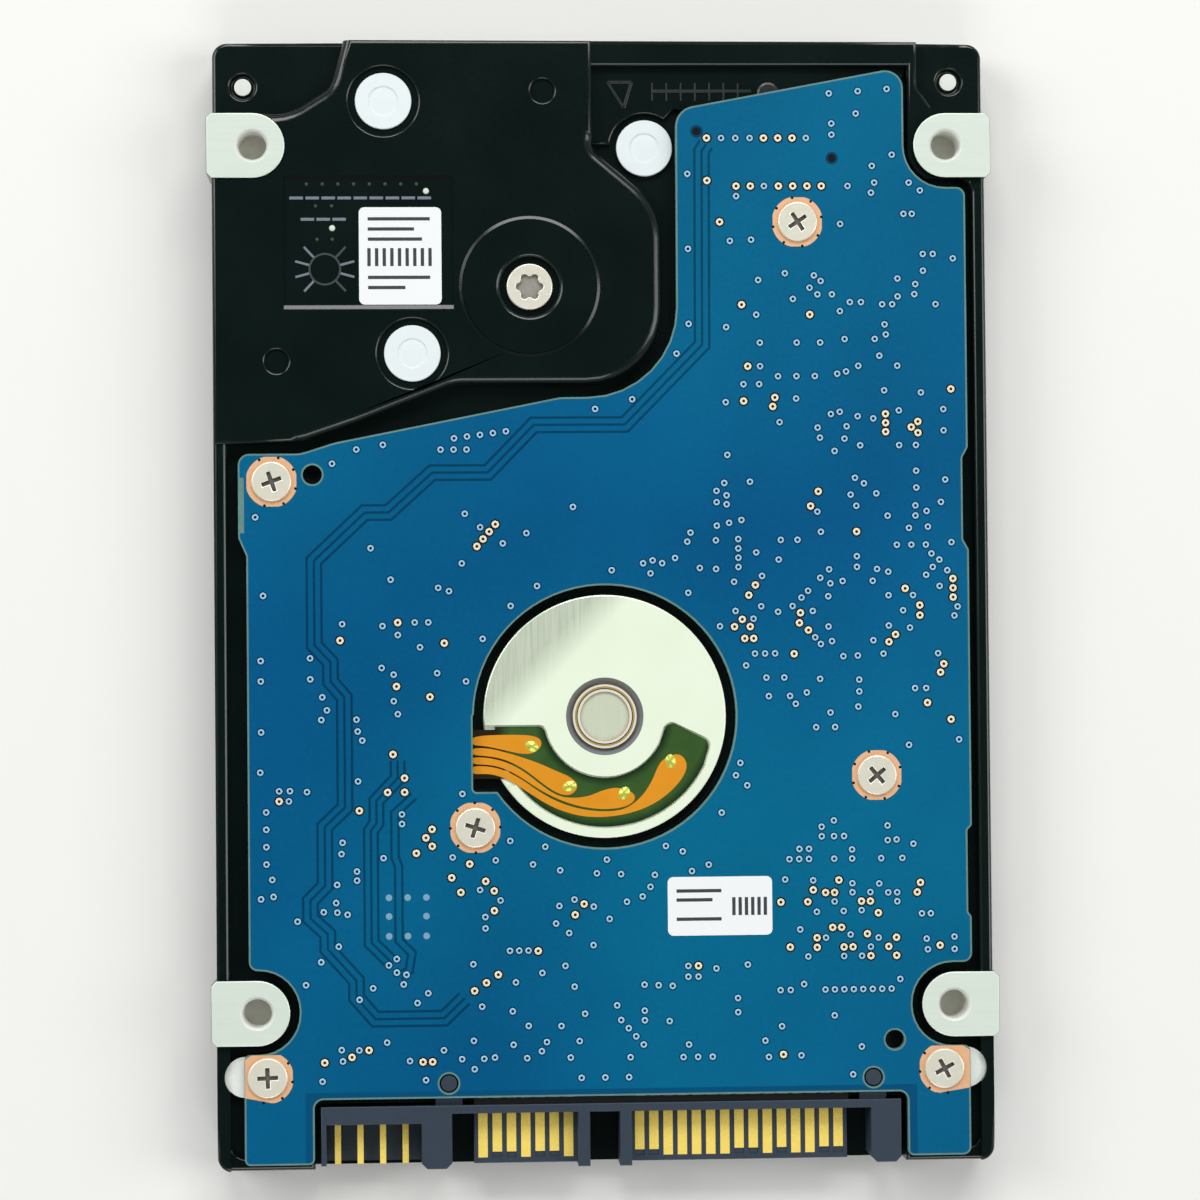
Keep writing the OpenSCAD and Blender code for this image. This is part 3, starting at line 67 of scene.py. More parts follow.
class Wire:
    def __init__(self, tree, socket=None):
        self.tree = tree
        self.socket = socket

    def node(self, kind, settings=None, inputs=None, out=0):
        made = self.tree.nodes.new(kind)
        for key, value in (settings or {}).items():
            setattr(made, key, value)
        for key, value in (inputs or {}).items():
            if isinstance(value, Wire):
                self.tree.links.new(value.socket, made.inputs[key])
            else:
                made.inputs[key].default_value = value
        return Wire(self.tree, made.outputs[out])

    def calc(self, operation, first, second=0.0):
        return self.node("ShaderNodeMath", {"operation": operation}, {0: first, 1: second})

    def mix(self, one, two):
        return self.node("ShaderNodeMix", {"data_type": "RGBA"}, {0: self, 6: one, 7: two}, 2)

    def clamp(self):
        return self.node("ShaderNodeClamp", None, {0: self})

    def axis(self, name):
        return self.node("ShaderNodeSeparateXYZ", None, {0: self}, name)

    def __add__(self, other):
        return self.calc("ADD", self, other)

    def __radd__(self, other):
        return self.calc("ADD", other, self)

    def __sub__(self, other):
        return self.calc("SUBTRACT", self, other)

    def __rsub__(self, other):
        return self.calc("SUBTRACT", other, self)

    def __mul__(self, other):
        return self.calc("MULTIPLY", self, other)

    def __rmul__(self, other):
        return self.calc("MULTIPLY", other, self)

    def __truediv__(self, other):
        return self.calc("DIVIDE", self, other)


def newFinish(name):
    material = bpy.data.materials.new(name)
    material.use_nodes = True
    tree = material.node_tree
    tree.nodes.clear()
    output = tree.nodes.new("ShaderNodeOutputMaterial")
    shader = tree.nodes.new("ShaderNodeBsdfPrincipled")
    tree.links.new(shader.outputs[0], output.inputs[0])
    place = Wire(tree).node("ShaderNodeTexCoord", out="Object")
    return material, shader, place


def plug(shader, **values):
    for key, value in values.items():
        socket = shader.inputs[key.replace("_", " ")]
        if isinstance(value, Wire):
            value.tree.links.new(value.socket, socket)
        else:
            socket.default_value = value


def speckle(place, grain, detail=2.0, stretch=(1, 1, 1), turn=0.0):
    moved = place.node(
        "ShaderNodeMapping", None, {"Vector": place, "Rotation": (0, 0, turn), "Scale": stretch}
    )
    return place.node("ShaderNodeTexNoise", None, {"Vector": moved, "Scale": grain, "Detail": detail})


def bumped(height, strength, depth):
    return height.node(
        "ShaderNodeBump", None, {"Height": height, "Strength": strength, "Distance": depth * mm}
    )


# a plain finish: colour that drifts a little, uneven gloss and a fine surface
def plainFinish(
    name, colour, rough, metal=0.0, drift=0.12, grain=2500, depth=0.01, gloss=0.5, stretch=(1, 1, 1)
):
    material, shader, place = newFinish(name)
    fine = speckle(place, grain, 3.0, stretch)
    wide = speckle(place, 90, 2.0)
    plug(
        shader,
        Base_Color=(0.5 * fine + 0.5 * wide).mix(shade(colour, 1 - drift), shade(colour, 1 + drift)),
        Roughness=rough + 0.16 * (fine - 0.5) + 0.08 * (wide - 0.5),
        Metallic=metal,
        Specular_IOR_Level=gloss,
        Normal=bumped(fine, 0.35, depth),
    )
    return material


# semi-gloss paint over a die casting: orange peel and a few dull patches
def castPaintFinish():
    material, shader, place = newFinish("castPaint")
    peel = speckle(place, 3600, 2.0)
    cloud = speckle(place, 130, 3.0)
    plug(
        shader,
        Base_Color=cloud.mix(tint(5, 17, 15), tint(10, 25, 22)),
        Roughness=0.15 + 0.09 * cloud + 0.08 * (peel - 0.5),
        Specular_IOR_Level=0.5,
        Normal=bumped(peel, 0.16, 0.01),
    )
    return material


# face milled metal, fine lines along one way
def milledFinish(name, colour, rough, turn=0.0, metal=0.72):
    material, shader, place = newFinish(name)
    lines = speckle(place, 900, 4.0, (0.25, 9, 0.25), turn)
    cloud = speckle(place, 260, 2.0)
    plug(
        shader,
        Base_Color=(0.6 * lines + 0.4 * cloud).mix(shade(colour, 0.88), colour),
        Roughness=rough + 0.18 * (lines - 0.5),
        Metallic=metal,
        Normal=bumped(lines, 0.3, 0.012),
    )
    return material


def fromCentre(place, centre):
    return place.node(
        "ShaderNodeMapping", None, {"Vector": place, "Location": (-centre[0] * mm, -centre[1] * mm, 0)}
    )


def reachFrom(place, centre):
    moved = fromCentre(place, centre)
    flat = moved.node(
        "ShaderNodeVectorMath", {"operation": "MULTIPLY"}, {0: moved, 1: (1.0, 1.0, 0.0)}
    )
    return flat.node("ShaderNodeVectorMath", {"operation": "LENGTH"}, {0: flat}, "Value")


# turned metal: rings round a centre, with grinding streaks laid over them
def turnedFinish(name, colour, rough, centre, pitch, metal=0.75, streaks=0.5):
    material, shader, place = newFinish(name)
    reach = reachFrom(place, centre)
    rings = 0.5 + 0.5 * reach.calc("SINE", reach * (2 * math.pi / (pitch * mm)))
    ground = speckle(place, 700, 4.0, (8, 0.3, 1), math.radians(18))
    wear = rings * (1 - streaks) + ground * streaks
    plug(
        shader,
        Base_Color=wear.mix(shade(colour, 0.86), colour),
        Roughness=rough + 0.16 * (ground - 0.5),
        Metallic=metal,
        Normal=bumped(wear, 0.25, 0.008),
    )
    return material


# motor flange: near white, with grinding streaks; on its upper left side the streaks are painted darker
# grey, a painted reflection laid over the real streaks
def flangeFinish(centre):
    material, shader, place = newFinish("flangeMetal")
    moved = fromCentre(place, centre)
    across = moved.axis("X")
    along = moved.axis("Y")
    # the upper left side, where the painted reflection darkens the streaks
    side = ((along - across - 8.0 * mm) / (3.6 * mm)).clamp()
    ground = speckle(place, 700, 4.0, (8, 0.3, 1), math.radians(-16))
    cloud = speckle(place, 200, 2.0)
    plain = cloud.mix(tint(232, 244, 218), tint(242, 252, 230))
    streaksAndReflection = ground.mix(tint(190, 202, 178), tint(236, 246, 224))
    plug(
        shader,
        Base_Color=side.mix(plain, streaksAndReflection),
        Roughness=0.34 + 0.14 * (ground - 0.5) - 0.06 * side,
        Metallic=0.1 + 0.2 * side,
        Normal=bumped(ground * (0.2 + 0.8 * side), 0.25, 0.01),
    )
    return material


# blue solder mask: copper below it shows as slow changes of shade, glass cloth as a faint weave
def maskFinish(name, depth=1.0, band=None):
    material, shader, place = newFinish(name)
    across = place.axis("X")
    along = place.axis("Y")
    thread = 2 * math.pi / (0.42 * mm)
    weave = across.calc("SINE", across * thread) * along.calc("SINE", along * thread)
    hue = ((speckle(place, 22, 1.0) - 0.3) * 2.4).clamp()
    cloud = speckle(place, 60, 2.0)
    fine = speckle(place, 2600, 2.0)
    low = hue.mix(tint(0, 68, 114, depth), tint(0, 84, 116, depth))
    high = hue.mix(tint(1, 92, 140, depth), tint(3, 114, 150, depth))
    colour = (0.72 * cloud + 0.22 * fine + 0.05 * weave).clamp().mix(low, high)
    if band:
        # no copper below the mask beside the connector, so it looks darker there
        left, right, top, depthThere = band
        soft = 0.06 * mm
        inside = ((top * mm - along) / soft).clamp()
        inside = inside * ((across - left * mm) / soft).clamp() * ((right * mm - across) / soft).clamp()
        colour = inside.mix(colour, tint(1, 88, 132, depthThere))
    plug(
        shader,
        Base_Color=colour,
        Roughness=0.3 + 0.12 * fine,
        Specular_IOR_Level=0.15,
        Normal=bumped(0.35 * weave + fine, 0.16, 0.01),
    )
    return material


# bare laminate at the cut edges: pale, with the layers of cloth showing on the sides
def laminateFinish():
    material, shader, place = newFinish("bareLaminate")
    layers = speckle(place, 500, 3.0, (1, 1, 16))
    fine = speckle(place, 3000, 2.0)
    plug(
        shader,
        Base_Color=(0.6 * layers + 0.4 * fine).mix(tint(62, 104, 104), tint(112, 148, 138)),
        Roughness=0.5 + 0.2 * fine,
        Normal=bumped(layers + fine, 0.4, 0.02),
    )
    return material


# polyimide over copper: green where the film is bare, with painted shade darkening it along its border by
# the pocket's edges, brown towards the tail
film = {"tail": -8.3, "tailFade": 1.6, "middle": 7.65, "half": 2.3}


def filmFinish():
    material, shader, place = newFinish("flexFilm")
    tail = ((film["tail"] * mm - place.axis("X")) / (film["tailFade"] * mm)).clamp()
    cloud = speckle(place, 420, 3.0)
    reach = reachFrom(place, motorXY)
    offMiddle = reach.calc("ABSOLUTE", reach - film["middle"] * mm) / (film["half"] * mm)
    # painted shade: darker green towards the film's inner and outer edges, where the pocket's walls shade
    # it
    borderShade = ((offMiddle - 0.62) * 3.2).clamp()
    green = borderShade.mix(cloud.mix(tint(36, 70, 28), tint(64, 96, 44)), tint(14, 40, 18))
    plug(
        shader,
        Base_Color=tail.mix(green, tint(34, 28, 12)),
        Roughness=0.22 + 0.16 * cloud,
        Coat_Weight=0.3,
        Normal=bumped(cloud, 0.2, 0.02),
    )
    return material


motorXY = (0.0, -10.16)
pivotXY = (-6.39, 28.06)

castPaint = castPaintFinish()
padMetal = milledFinish("padMetal", tint(226, 237, 224), 0.36, 0.4, 0.14)
# painted highlight: a lighter copy of the bare pad metal, used on the hole mouths' chamfers and the oval
# posts' tops to stand in for light on them
highlightMetal = plainFinish("highlightMetal", tint(244, 248, 242), 0.3, 0.1, 0.05, 2200, 0.01)
holeMetal = plainFinish("holeMetal", tint(222, 222, 214), 0.42, 0.15, 0.2, 2200, 0.03)
# painted highlight: the die marks are in the casting's own black paint; these greys are lit copies of it
# standing in for light on their edges, the dim one a less lit copy
markHighlightPaint = plainFinish("markHighlightPaint", tint(116, 122, 134), 0.34, 0.0, 0.2)
shelfHighlightPaint = plainFinish("shelfHighlightPaint", tint(40, 44, 48), 0.3, 0.0, 0.2)
markDimHighlightPaint = plainFinish("markDimHighlightPaint", tint(62, 68, 68), 0.34, 0.0, 0.2)
# painted shade: near black for the deck recess's rear slope, which faces away from the light
slopeShadePaint = plainFinish("slopeShadePaint", tint(3, 7, 7), 0.6, 0.0, 0.2, 3000, 0.01, 0.12)
boardMask = maskFinish("boardMask", 1.0, (-26.75, 27.54, -43.05, 0.72))
traceMask = maskFinish("traceMask", 0.46)
# painted shade: darker mask in a ring round plated holes, where the edge of the mask's opening shades
haloShadeMask = maskFinish("haloShadeMask", 0.4)
bareLaminate = laminateFinish()
copperPad = plainFinish("copperPad", tint(247, 192, 146), 0.34, 0.25, 0.08, 3000, 0.008)
tinSilver = plainFinish("tinSilver", tint(166, 206, 232), 0.3, 0.15, 0.1, 4000, 0.008)
dotTin = plainFinish("dotTin", tint(122, 166, 188), 0.4, 0.1, 0.08, 3000, 0.006)
viaGold = plainFinish("viaGold", tint(255, 236, 202), 0.3, 0.15, 0.1, 4000, 0.008)
# painted shade: near black standing for the shade inside plated holes, small drilled holes and pricks, and
# in the gap between the bearing's rings
holeShadeDark = plainFinish("holeShadeDark", tint(9, 14, 22), 0.7, 0.0, 0.2, 4000, 0.01, 0.15)
# painted shade: the screw recesses are the screws' own steel, painted grey where shade falls in the cross
# and the lobes
recessShadeGrey = plainFinish("recessShadeGrey", tint(112, 108, 100), 0.4, 0.3, 0.2, 2000, 0.01)
lobeShadeGrey = plainFinish("lobeShadeGrey", tint(156, 152, 144), 0.36, 0.2, 0.2, 2000, 0.01)
tipMetal = plainFinish("tipMetal", tint(234, 238, 230), 0.3, 0.12, 0.06, 1800, 0.012)
# painted shade: near black for the housing's lip in the shadow behind the connector bar
lipShadeBlack = plainFinish("lipShadeBlack", tint(13, 15, 19), 0.5, 0.0, 0.15, 3200, 0.01, 0.3)
# painted reflection: the flange's mouth chamfer is the flange's own metal, given grey where it mirrors the
# darker room
chamferReflectionGrey = turnedFinish("chamferReflectionGrey", tint(140, 146, 152), 0.34, motorXY, 0.1, 0.3, 0.2)
ringWhite = turnedFinish("ringWhite", tint(240, 242, 232), 0.3, motorXY, 0.08, 0.2, 0.2)
ringGold = turnedFinish("ringGold", tint(214, 176, 84), 0.3, motorXY, 0.08, 0.4, 0.2)
capMetal = turnedFinish("capMetal", tint(218, 226, 202), 0.36, motorXY, 0.2, 0.2, 0.6)
flexFilm = filmFinish()
flexCopper = plainFinish("flexCopper", tint(240, 158, 38), 0.28, 0.2, 0.1, 700, 0.01)
solderBlob = plainFinish("solderBlob", tint(196, 204, 84), 0.22, 0.25, 0.25, 900, 0.05)
inkGrey = plainFinish("inkGrey", tint(52, 56, 62), 0.5, 0.0, 0.1, 3000, 0.004)

# one finish for each material slot of the frame
slotFinish = {
    "cast_black": castPaint,
    "cover_sheet": milledFinish("coverSheet", tint(206, 208, 210), 0.4, 0.0, 0.6),
    "rubber_black": plainFinish("rubberBlack", tint(28, 28, 30), 0.72, 0.0, 0.2, 3000, 0.02, 0.3),
    "screw_steel": plainFinish("screwSteel", tint(232, 230, 212), 0.32, 0.25, 0.08, 1800, 0.012),
    "filter_white": plainFinish("filterFelt", tint(232, 230, 222), 0.9, 0.0, 0.1, 3500, 0.06, 0.2),
    "board_blue": boardMask,
    "film_black": plainFinish("insulatorFilm", tint(15, 16, 17), 0.36, 0.0, 0.1, 600, 0.01),
    "connector_slate": plainFinish("slatePlastic", tint(48, 60, 73), 0.46, 0.0, 0.14, 3200, 0.014, 0.4),
    "contact_gold": plainFinish("contactGold", tint(255, 224, 110), 0.27, 0.1, 0.04, 1500, 0.004),
    "chip_black": plainFinish("chipPackage", tint(34, 34, 36), 0.55, 0.0, 0.15, 4000, 0.012),
    "passive_tan": plainFinish("passiveCeramic", tint(160, 138, 108), 0.5, 0.0, 0.25, 900, 0.01),
    "plug_ivory": plainFinish("plugIvory", tint(216, 210, 190), 0.45, 0.0, 0.06, 2600, 0.01),
    "plug_black": plainFinish("plugBlack", tint(42, 42, 45), 0.45, 0.0, 0.12, 2600, 0.012),
    "flange_metal": flangeFinish(motorXY),
    "flex_orange": flexFilm,
    "sleeve_brass": turnedFinish("sleeveBrass", tint(214, 186, 116), 0.3, motorXY, 0.12, 0.5, 0.3),
    "bright_steel": turnedFinish("brightSteel", tint(216, 216, 210), 0.34, motorXY, 0.16, 0.5, 0.5),
    "core_steel": plainFinish(
        "coreSteel", tint(144, 144, 148), 0.42, 0.9, 0.12, 900, 0.02, stretch=(1, 1, 14)
    ),
    "winding_copper": plainFinish(
        "windingCopper", tint(196, 122, 70), 0.34, 0.85, 0.15, 1600, 0.03, stretch=(1, 1, 10)
    ),
    "yoke_nickel": plainFinish("yokeNickel", tint(188, 190, 192), 0.34, 0.9, 0.08, 1100, 0.01),
    "magnet_nickel": plainFinish("magnetNickel", tint(156, 158, 162), 0.25, 0.9, 0.08, 700, 0.008),
    "light_alloy": milledFinish("lightAlloy", tint(212, 214, 216), 0.36, 0.8, 0.85),
    "disk_mirror": turnedFinish("diskMirror", tint(232, 233, 236), 0.1, motorXY, 0.3, 1.0, 0.1),
    "spring_steel": plainFinish(
        "springSteel", tint(206, 206, 208), 0.3, 0.9, 0.06, 900, 0.006, stretch=(1, 12, 1)
    ),
    "head_grey": plainFinish("headCeramic", tint(80, 80, 84), 0.35, 0.1, 0.1, 3000, 0.006),
    "seal_white": plainFinish("sealFilm", tint(224, 232, 233), 0.36, 0.0, 0.04, 1400, 0.012, 0.4),
    "label_white": plainFinish("labelPaper", tint(234, 236, 236), 0.6, 0.0, 0.04, 3400, 0.012, 0.3),
}
nodeSlot = {part["node"]: part["material_slot"] for part in frame["record"]["subparts"]}
for nodeName, cadObject in frame["nodes"].items():
    cadObject.data.materials.clear()
    cadObject.data.materials.append(slotFinish[nodeSlot[nodeName]])
frame["nodes"]["bearing_cap"].data.materials[0] = capMetal
frame["nodes"]["cover_screws"].data.materials[0] = tipMetal
print("finishes made:", len(bpy.data.materials))


beyond = 9  # mm, more than any height on the drive
sunk = 0.01  # mm, thin pieces start this far below what carries them
crease = math.radians(32)
down = Vector((0, 0, -1))


def newObject(name, data):
    made = bpy.data.objects.new(name, data)
    bpy.context.scene.collection.objects.link(made)
    return made


# makes a shape a piece on the base; level faces stay flat, all others are smooth up to the crease
def addPiece(name, shape, finishes, node=None):
    mesh = bpy.data.meshes.new(name)
    shape.to_mesh(mesh)
    shape.free()
    for finish in finishes:
        mesh.materials.append(finish)
    mesh.shade_smooth()
    mesh.set_sharp_from_angle(angle=crease)
    for polygon in mesh.polygons:
        polygon.use_smooth = abs(polygon.normal.z) < 0.9999
    piece = newObject(name, mesh)
    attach(piece, "base")
    if node:
        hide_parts(node)
    return piece


# a merged copy of a node's mesh with its flat faces joined up again
def nodeCopy(node):
    shape = bmesh.new()
    shape.from_mesh(frame["nodes"][node].data)
    bmesh.ops.remove_doubles(shape, verts=shape.verts, dist=0.001 * mm)
    bmesh.ops.dissolve_limit(
        shape, angle_limit=math.radians(1), verts=shape.verts, edges=shape.edges
    )
    for face in shape.faces:
        face.material_index = 0
    return shape


def middleOf(face):
    return face.calc_center_median() / mm


def facesUp(face):
    return face.normal.z > 0.9


def isSlanted(face):
    return 0.3 < face.normal.z < 0.9


# distance from the nearest of some places, seen from above
def nearest(spot, places):
    return min(math.dist(spot[:2], place) for place in places)


def edgeReach(edge, places):
    return nearest((edge.verts[0].co + edge.verts[1].co) / 2 / mm, places)


# height of the wall below a raised edge, in mm, or 0 where the edge isn't one
def rimHeight(edge):
    if len(edge.link_faces) != 2 or not edge.is_convex:
        return 0
    if abs(edge.verts[0].co.z - edge.verts[1].co.z) > 0.002 * mm:
        return 0
    first, second = edge.link_faces
    top, wall = (first, second) if first.normal.z > second.normal.z else (second, first)
    if top.normal.z < 0.95 or wall.normal.z > 0.5:
        return 0
    levels = [vert.co.z for vert in wall.verts]
    return (max(levels) - min(levels)) / mm


def tallRims(shape, least=0.2):
    return [edge for edge in shape.edges if rimHeight(edge) > least]


# the least drop beside a raised edge, in mm: a wall may stand on a step for part of its length
def leastDrop(edge, surface):
    wall = min(edge.link_faces, key=lambda face: face.normal.z)
    drops = []
    for share in (0.04, 0.25, 0.5, 0.75, 0.96):
        start = edge.verts[0].co.lerp(edge.verts[1].co, share) + wall.normal * 0.02 * mm
        floor = surface.ray_cast(start + Vector((0, 0, 0.01 * mm)), down)[0]
        drops.append(beyond if floor is None else (start.z - floor.z) / mm)
    return min(drops)


def roundEdges(shape, edges, width, steps):
    if edges:
        bmesh.ops.bevel(
            shape,
            geom=edges,
            offset=width * mm,
            offset_type="OFFSET",
            affect="EDGES",
            segments=steps,
            profile=0.5,
            material=-1,
            clamp_overlap=False,
        )


def levelNormals(piece):
    weighted = piece.modifiers.new("levelNormals", "WEIGHTED_NORMAL")
    weighted.keep_sharp = True


# a flat plate cut to an outline, straight or smoothed, with any further outlines as holes
def plate(outlines, low, high, smooth=False):
    curve = bpy.data.curves.new("outline", "CURVE")
    curve.dimensions = "2D"
    curve.fill_mode = "BOTH"
    curve.extrude = (high - low) / 2 * mm
    curve.resolution_u = 6
    for outline in outlines:
        spline = curve.splines.new("NURBS" if smooth else "POLY")
        spline.points.add(len(outline) - 1)
        for point, (x, y) in zip(spline.points, outline):
            point.co = (x * mm, y * mm, 0, 1)
        spline.use_cyclic_u = True
        if smooth:
            spline.order_u = 3
    drawn = newObject("outline", curve)
    bpy.context.view_layer.update()
    ready = drawn.evaluated_get(bpy.context.evaluated_depsgraph_get())
    shape = bmesh.new()
    shape.from_mesh(ready.to_mesh())
    ready.to_mesh_clear()
    bpy.data.objects.remove(drawn)
    bpy.data.curves.remove(curve)
    bmesh.ops.remove_doubles(shape, verts=shape.verts, dist=0.0005 * mm)
    bmesh.ops.translate(shape, verts=shape.verts, vec=(0, 0, (low + high) / 2 * mm))
    bmesh.ops.recalc_face_normals(shape, faces=shape.faces)
    return shape


# a turned shape: a profile of (radius, height) points taken once round an upright axis
def turned(profile, centre, steps=32):
    shape = bmesh.new()
    points = [shape.verts.new((radius * mm, 0, height * mm)) for radius, height in profile]
    line = [shape.edges.new(pair) for pair in zip(points, points[1:])]
    bmesh.ops.spin(
        shape,
        geom=points + line,
        cent=(0, 0, 0),
        axis=(0, 0, 1),
        angle=2 * math.pi,
        steps=steps,
        use_merge=True,
    )
    bmesh.ops.remove_doubles(shape, verts=shape.verts, dist=0.0005 * mm)
    bmesh.ops.recalc_face_normals(shape, faces=shape.faces)
    bmesh.ops.translate(shape, verts=shape.verts, vec=(centre[0] * mm, centre[1] * mm, 0))
    return shape


# a round peg; its top may rise to a low crown
def peg(centre, top, foot, low, high, steps, crown=0.0):
    return turned([(0, high + crown), (top, high), (foot, low), (0, low)], centre, steps)


# a flat ring; its sides may lean inwards
def ring(centre, inner, outer, low, high, steps, lean=0.0):
    profile = [(inner, low), (inner + lean, high), (outer - lean, high), (outer, low), (inner, low)]
    return turned(profile, centre, steps)


# puts one shape into another and frees it
def gather(whole, part, slotNumber=None):
    mesh = bpy.data.meshes.new("part")
    if slotNumber is not None:
        for face in part.faces:
            face.material_index = slotNumber
    part.to_mesh(mesh)
    part.free()
    whole.from_mesh(mesh)
    bpy.data.meshes.remove(mesh)


def circle(centre, radius, count=32, start=0.0):
    turns = [start + 2 * math.pi * step / count for step in range(count)]
    return [(centre[0] + radius * math.cos(a), centre[1] + radius * math.sin(a)) for a in turns]


def roundBox(centre, size, radius, steps=6):
    outline = []
    for turn, (sideX, sideY) in enumerate(((1, 1), (-1, 1), (-1, -1), (1, -1))):
        x = centre[0] + sideX * (size[0] / 2 - radius)
        y = centre[1] + sideY * (size[1] / 2 - radius)
        for step in range(steps + 1):
            way = math.pi / 2 * (turn + step / steps)
            outline.append((x + radius * math.cos(way), y + radius * math.sin(way)))
    return outline


# a straight raised bar between two points, its upper edges rounded
def bar(start, end, width, low, high):
    run = Vector((end[0] - start[0], end[1] - start[1]))
    shape = bmesh.new()
    size = Matrix.Diagonal((run.length * mm, width * mm, (high - low) * mm, 1))
    turn = Matrix.Rotation(math.atan2(run.y, run.x), 4, "Z")
    middle = Vector(((start[0] + end[0]) / 2, (start[1] + end[1]) / 2, (low + high) / 2)) * mm
    bmesh.ops.create_cube(shape, size=1, matrix=Matrix.Translation(middle) @ turn @ size)
    upper = [edge for edge in shape.edges if all(vert.co.z > middle.z for vert in edge.verts)]
    roundEdges(shape, upper, min(width, high - low) * 0.35, 2)
    return shape


def raised(made):
    return [item for item in made["geom"] if isinstance(item, bmesh.types.BMVert)]


# a slope against a step: full height on the line, running out to nothing on its left
def slope(start, end, width, low, high):
    run = Vector((end[0] - start[0], end[1] - start[1], 0)) * mm
    out = Vector((-run.y, run.x, 0)).normalized() * width * mm
    foot = Vector((start[0], start[1], low)) * mm
    shape = bmesh.new()
    line = [foot]
    steps = 8
    for step in range(steps + 1):
        share = step / steps
        rise = (high - low) * share * share * (3 - 2 * share)
        line.append(foot + out * (1 - share) + Vector((0, 0, rise)) * mm)
    face = shape.faces.new([shape.verts.new(corner) for corner in line])
    made = bmesh.ops.extrude_face_region(shape, geom=[face], use_keep_orig=True)
    bmesh.ops.translate(shape, verts=raised(made), vec=run)
    bmesh.ops.recalc_face_normals(shape, faces=shape.faces)
    return shape


# the same path, moved sideways to its left
def shiftPath(path, shift):
    points = [Vector(point) for point in path]
    runs = [(after - before).normalized() for before, after in zip(points, points[1:])]
    moved = []
    for number, point in enumerate(points):
        after = runs[min(number, len(runs) - 1)]
        along = (runs[max(0, number - 1)] + after).normalized()
        moved.append(point + Vector((-along.y, along.x)) * shift / max(0.5, along.dot(after)))
    return moved


# a flat line of even width along a path, closed underneath
def ribbon(path, width, low, high):
    shape = bmesh.new()
    lead = None
    for rails in zip(shiftPath(path, -width / 2), shiftPath(path, width / 2)):
        ends = [Vector((point.x, point.y, low)) * mm for point in rails]
        if lead is None:
            pair = [shape.verts.new(end) for end in ends]
            lead = shape.edges.new(pair)
        else:
            grown = bmesh.ops.extrude_edge_only(shape, edges=[lead])["geom"]
            lead = next(item for item in grown if isinstance(item, bmesh.types.BMEdge))
            first = pair[0].co.copy()
            pair = sorted(lead.verts, key=lambda vert: (vert.co - first).length)
            for vert, end in zip(pair, ends):
                vert.co = end
    made = bmesh.ops.extrude_face_region(shape, geom=list(shape.faces), use_keep_orig=True)
    bmesh.ops.translate(shape, verts=raised(made), vec=(0, 0, (high - low) * mm))
    bmesh.ops.recalc_face_normals(shape, faces=shape.faces)
    return shape


# casting: black paint, bare metal on the four feet, the hole walls and the two oval posts
casting = {
    "deckTop": 6.8,
    "footTop": 7.0,
    "ovalTop": 5.9,
    "holes": [(x, y) for x in (-30.86, 30.86) for y in (-36.0, 40.6)],
    "holeReach": 1.62,
    "holeFloor": 3.0,
    "mouthReach": 2.0,
    "footReach": 3.7,
    "ovals": [(-30.01, -41.7), (29.96, -41.7)],
    "ovalFace": 5.0,
    "ovalReach": 6.5,
    # width of the rounding, and the least and most height of the walls that get it
    "deckRound": (0.8, 1.2, beyond),
    "wallRound": (0.3, 0.62, beyond),
    "lowRound": (0.17, 0.22, 0.62),
    "mouthRound": (0.26, 0.1, beyond),
    "footRound": (0.12, 0.1, beyond),
}


def buildCasting():
    shape = nodeCopy("base_casting")
    holes = casting["holes"]
    ovals = casting["ovals"]
    deck = casting["deckTop"]
    foot = casting["footTop"] - 0.05
    for face in shape.faces:
        middle = middleOf(face)
        onOval = abs(middle.z - casting["ovalTop"]) < 0.02 and nearest(middle, ovals) < casting["ovalFace"]
        if facesUp(face) and middle.z > foot:
            face.material_index = 1
        elif nearest(middle, holes) < casting["holeReach"] and middle.z > casting["holeFloor"]:
            face.material_index = 2
        # oval post tops also take the lighter bare metal, a painted highlight
        elif facesUp(face) and onOval:
            face.material_index = 3

    def rims(low, high, rounding):
        least, most = casting[rounding][1:]
        return [
            edge
            for edge in shape.edges
            if low * mm < edge.verts[0].co.z < high * mm and least < rimHeight(edge) < most
        ]

    surface = BVHTree.FromBMesh(shape)
    tall = [
        edge
        for edge in rims(deck - 0.01, deck + 0.01, "deckRound")
        if 1 < leastDrop(edge, surface) < beyond
    ]
    roundEdges(shape, tall, casting["deckRound"][0], 5)
    # the narrow ledges round the feet and the oval posts stay sharp
    for rounding in ("wallRound", "lowRound"):
        width = casting[rounding][0]
        edges = [
            edge
            for edge in rims(0, foot, rounding)
            if edgeReach(edge, holes) > casting["footReach"]
            and edgeReach(edge, ovals) > casting["ovalReach"]
            and leastDrop(edge, surface) > width
        ]
        roundEdges(shape, edges, width, 3)
    rim = rims(foot, beyond, "mouthRound")
    mouths = [edge for edge in rim if edgeReach(edge, holes) < casting["holeReach"]]
    roundEdges(shape, mouths, casting["mouthRound"][0], 1)
    rim = rims(foot, beyond, "footRound")
    feet = [edge for edge in rim if edgeReach(edge, holes) > casting["mouthReach"]]
    roundEdges(shape, feet, casting["footRound"][0], 2)
    for face in shape.faces:
        middle = middleOf(face)
        atMouth = nearest(middle, holes) < casting["mouthReach"] and middle.z > foot - 0.4
        # the mouth chamfers take the lighter bare metal, a painted highlight
        if atMouth and isSlanted(face):
            face.material_index = 3
    finishes = [castPaint, padMetal, holeMetal, highlightMetal]
    levelNormals(addPiece("castingBody", shape, finishes, "base_casting"))


buildCasting()
print("casting done")


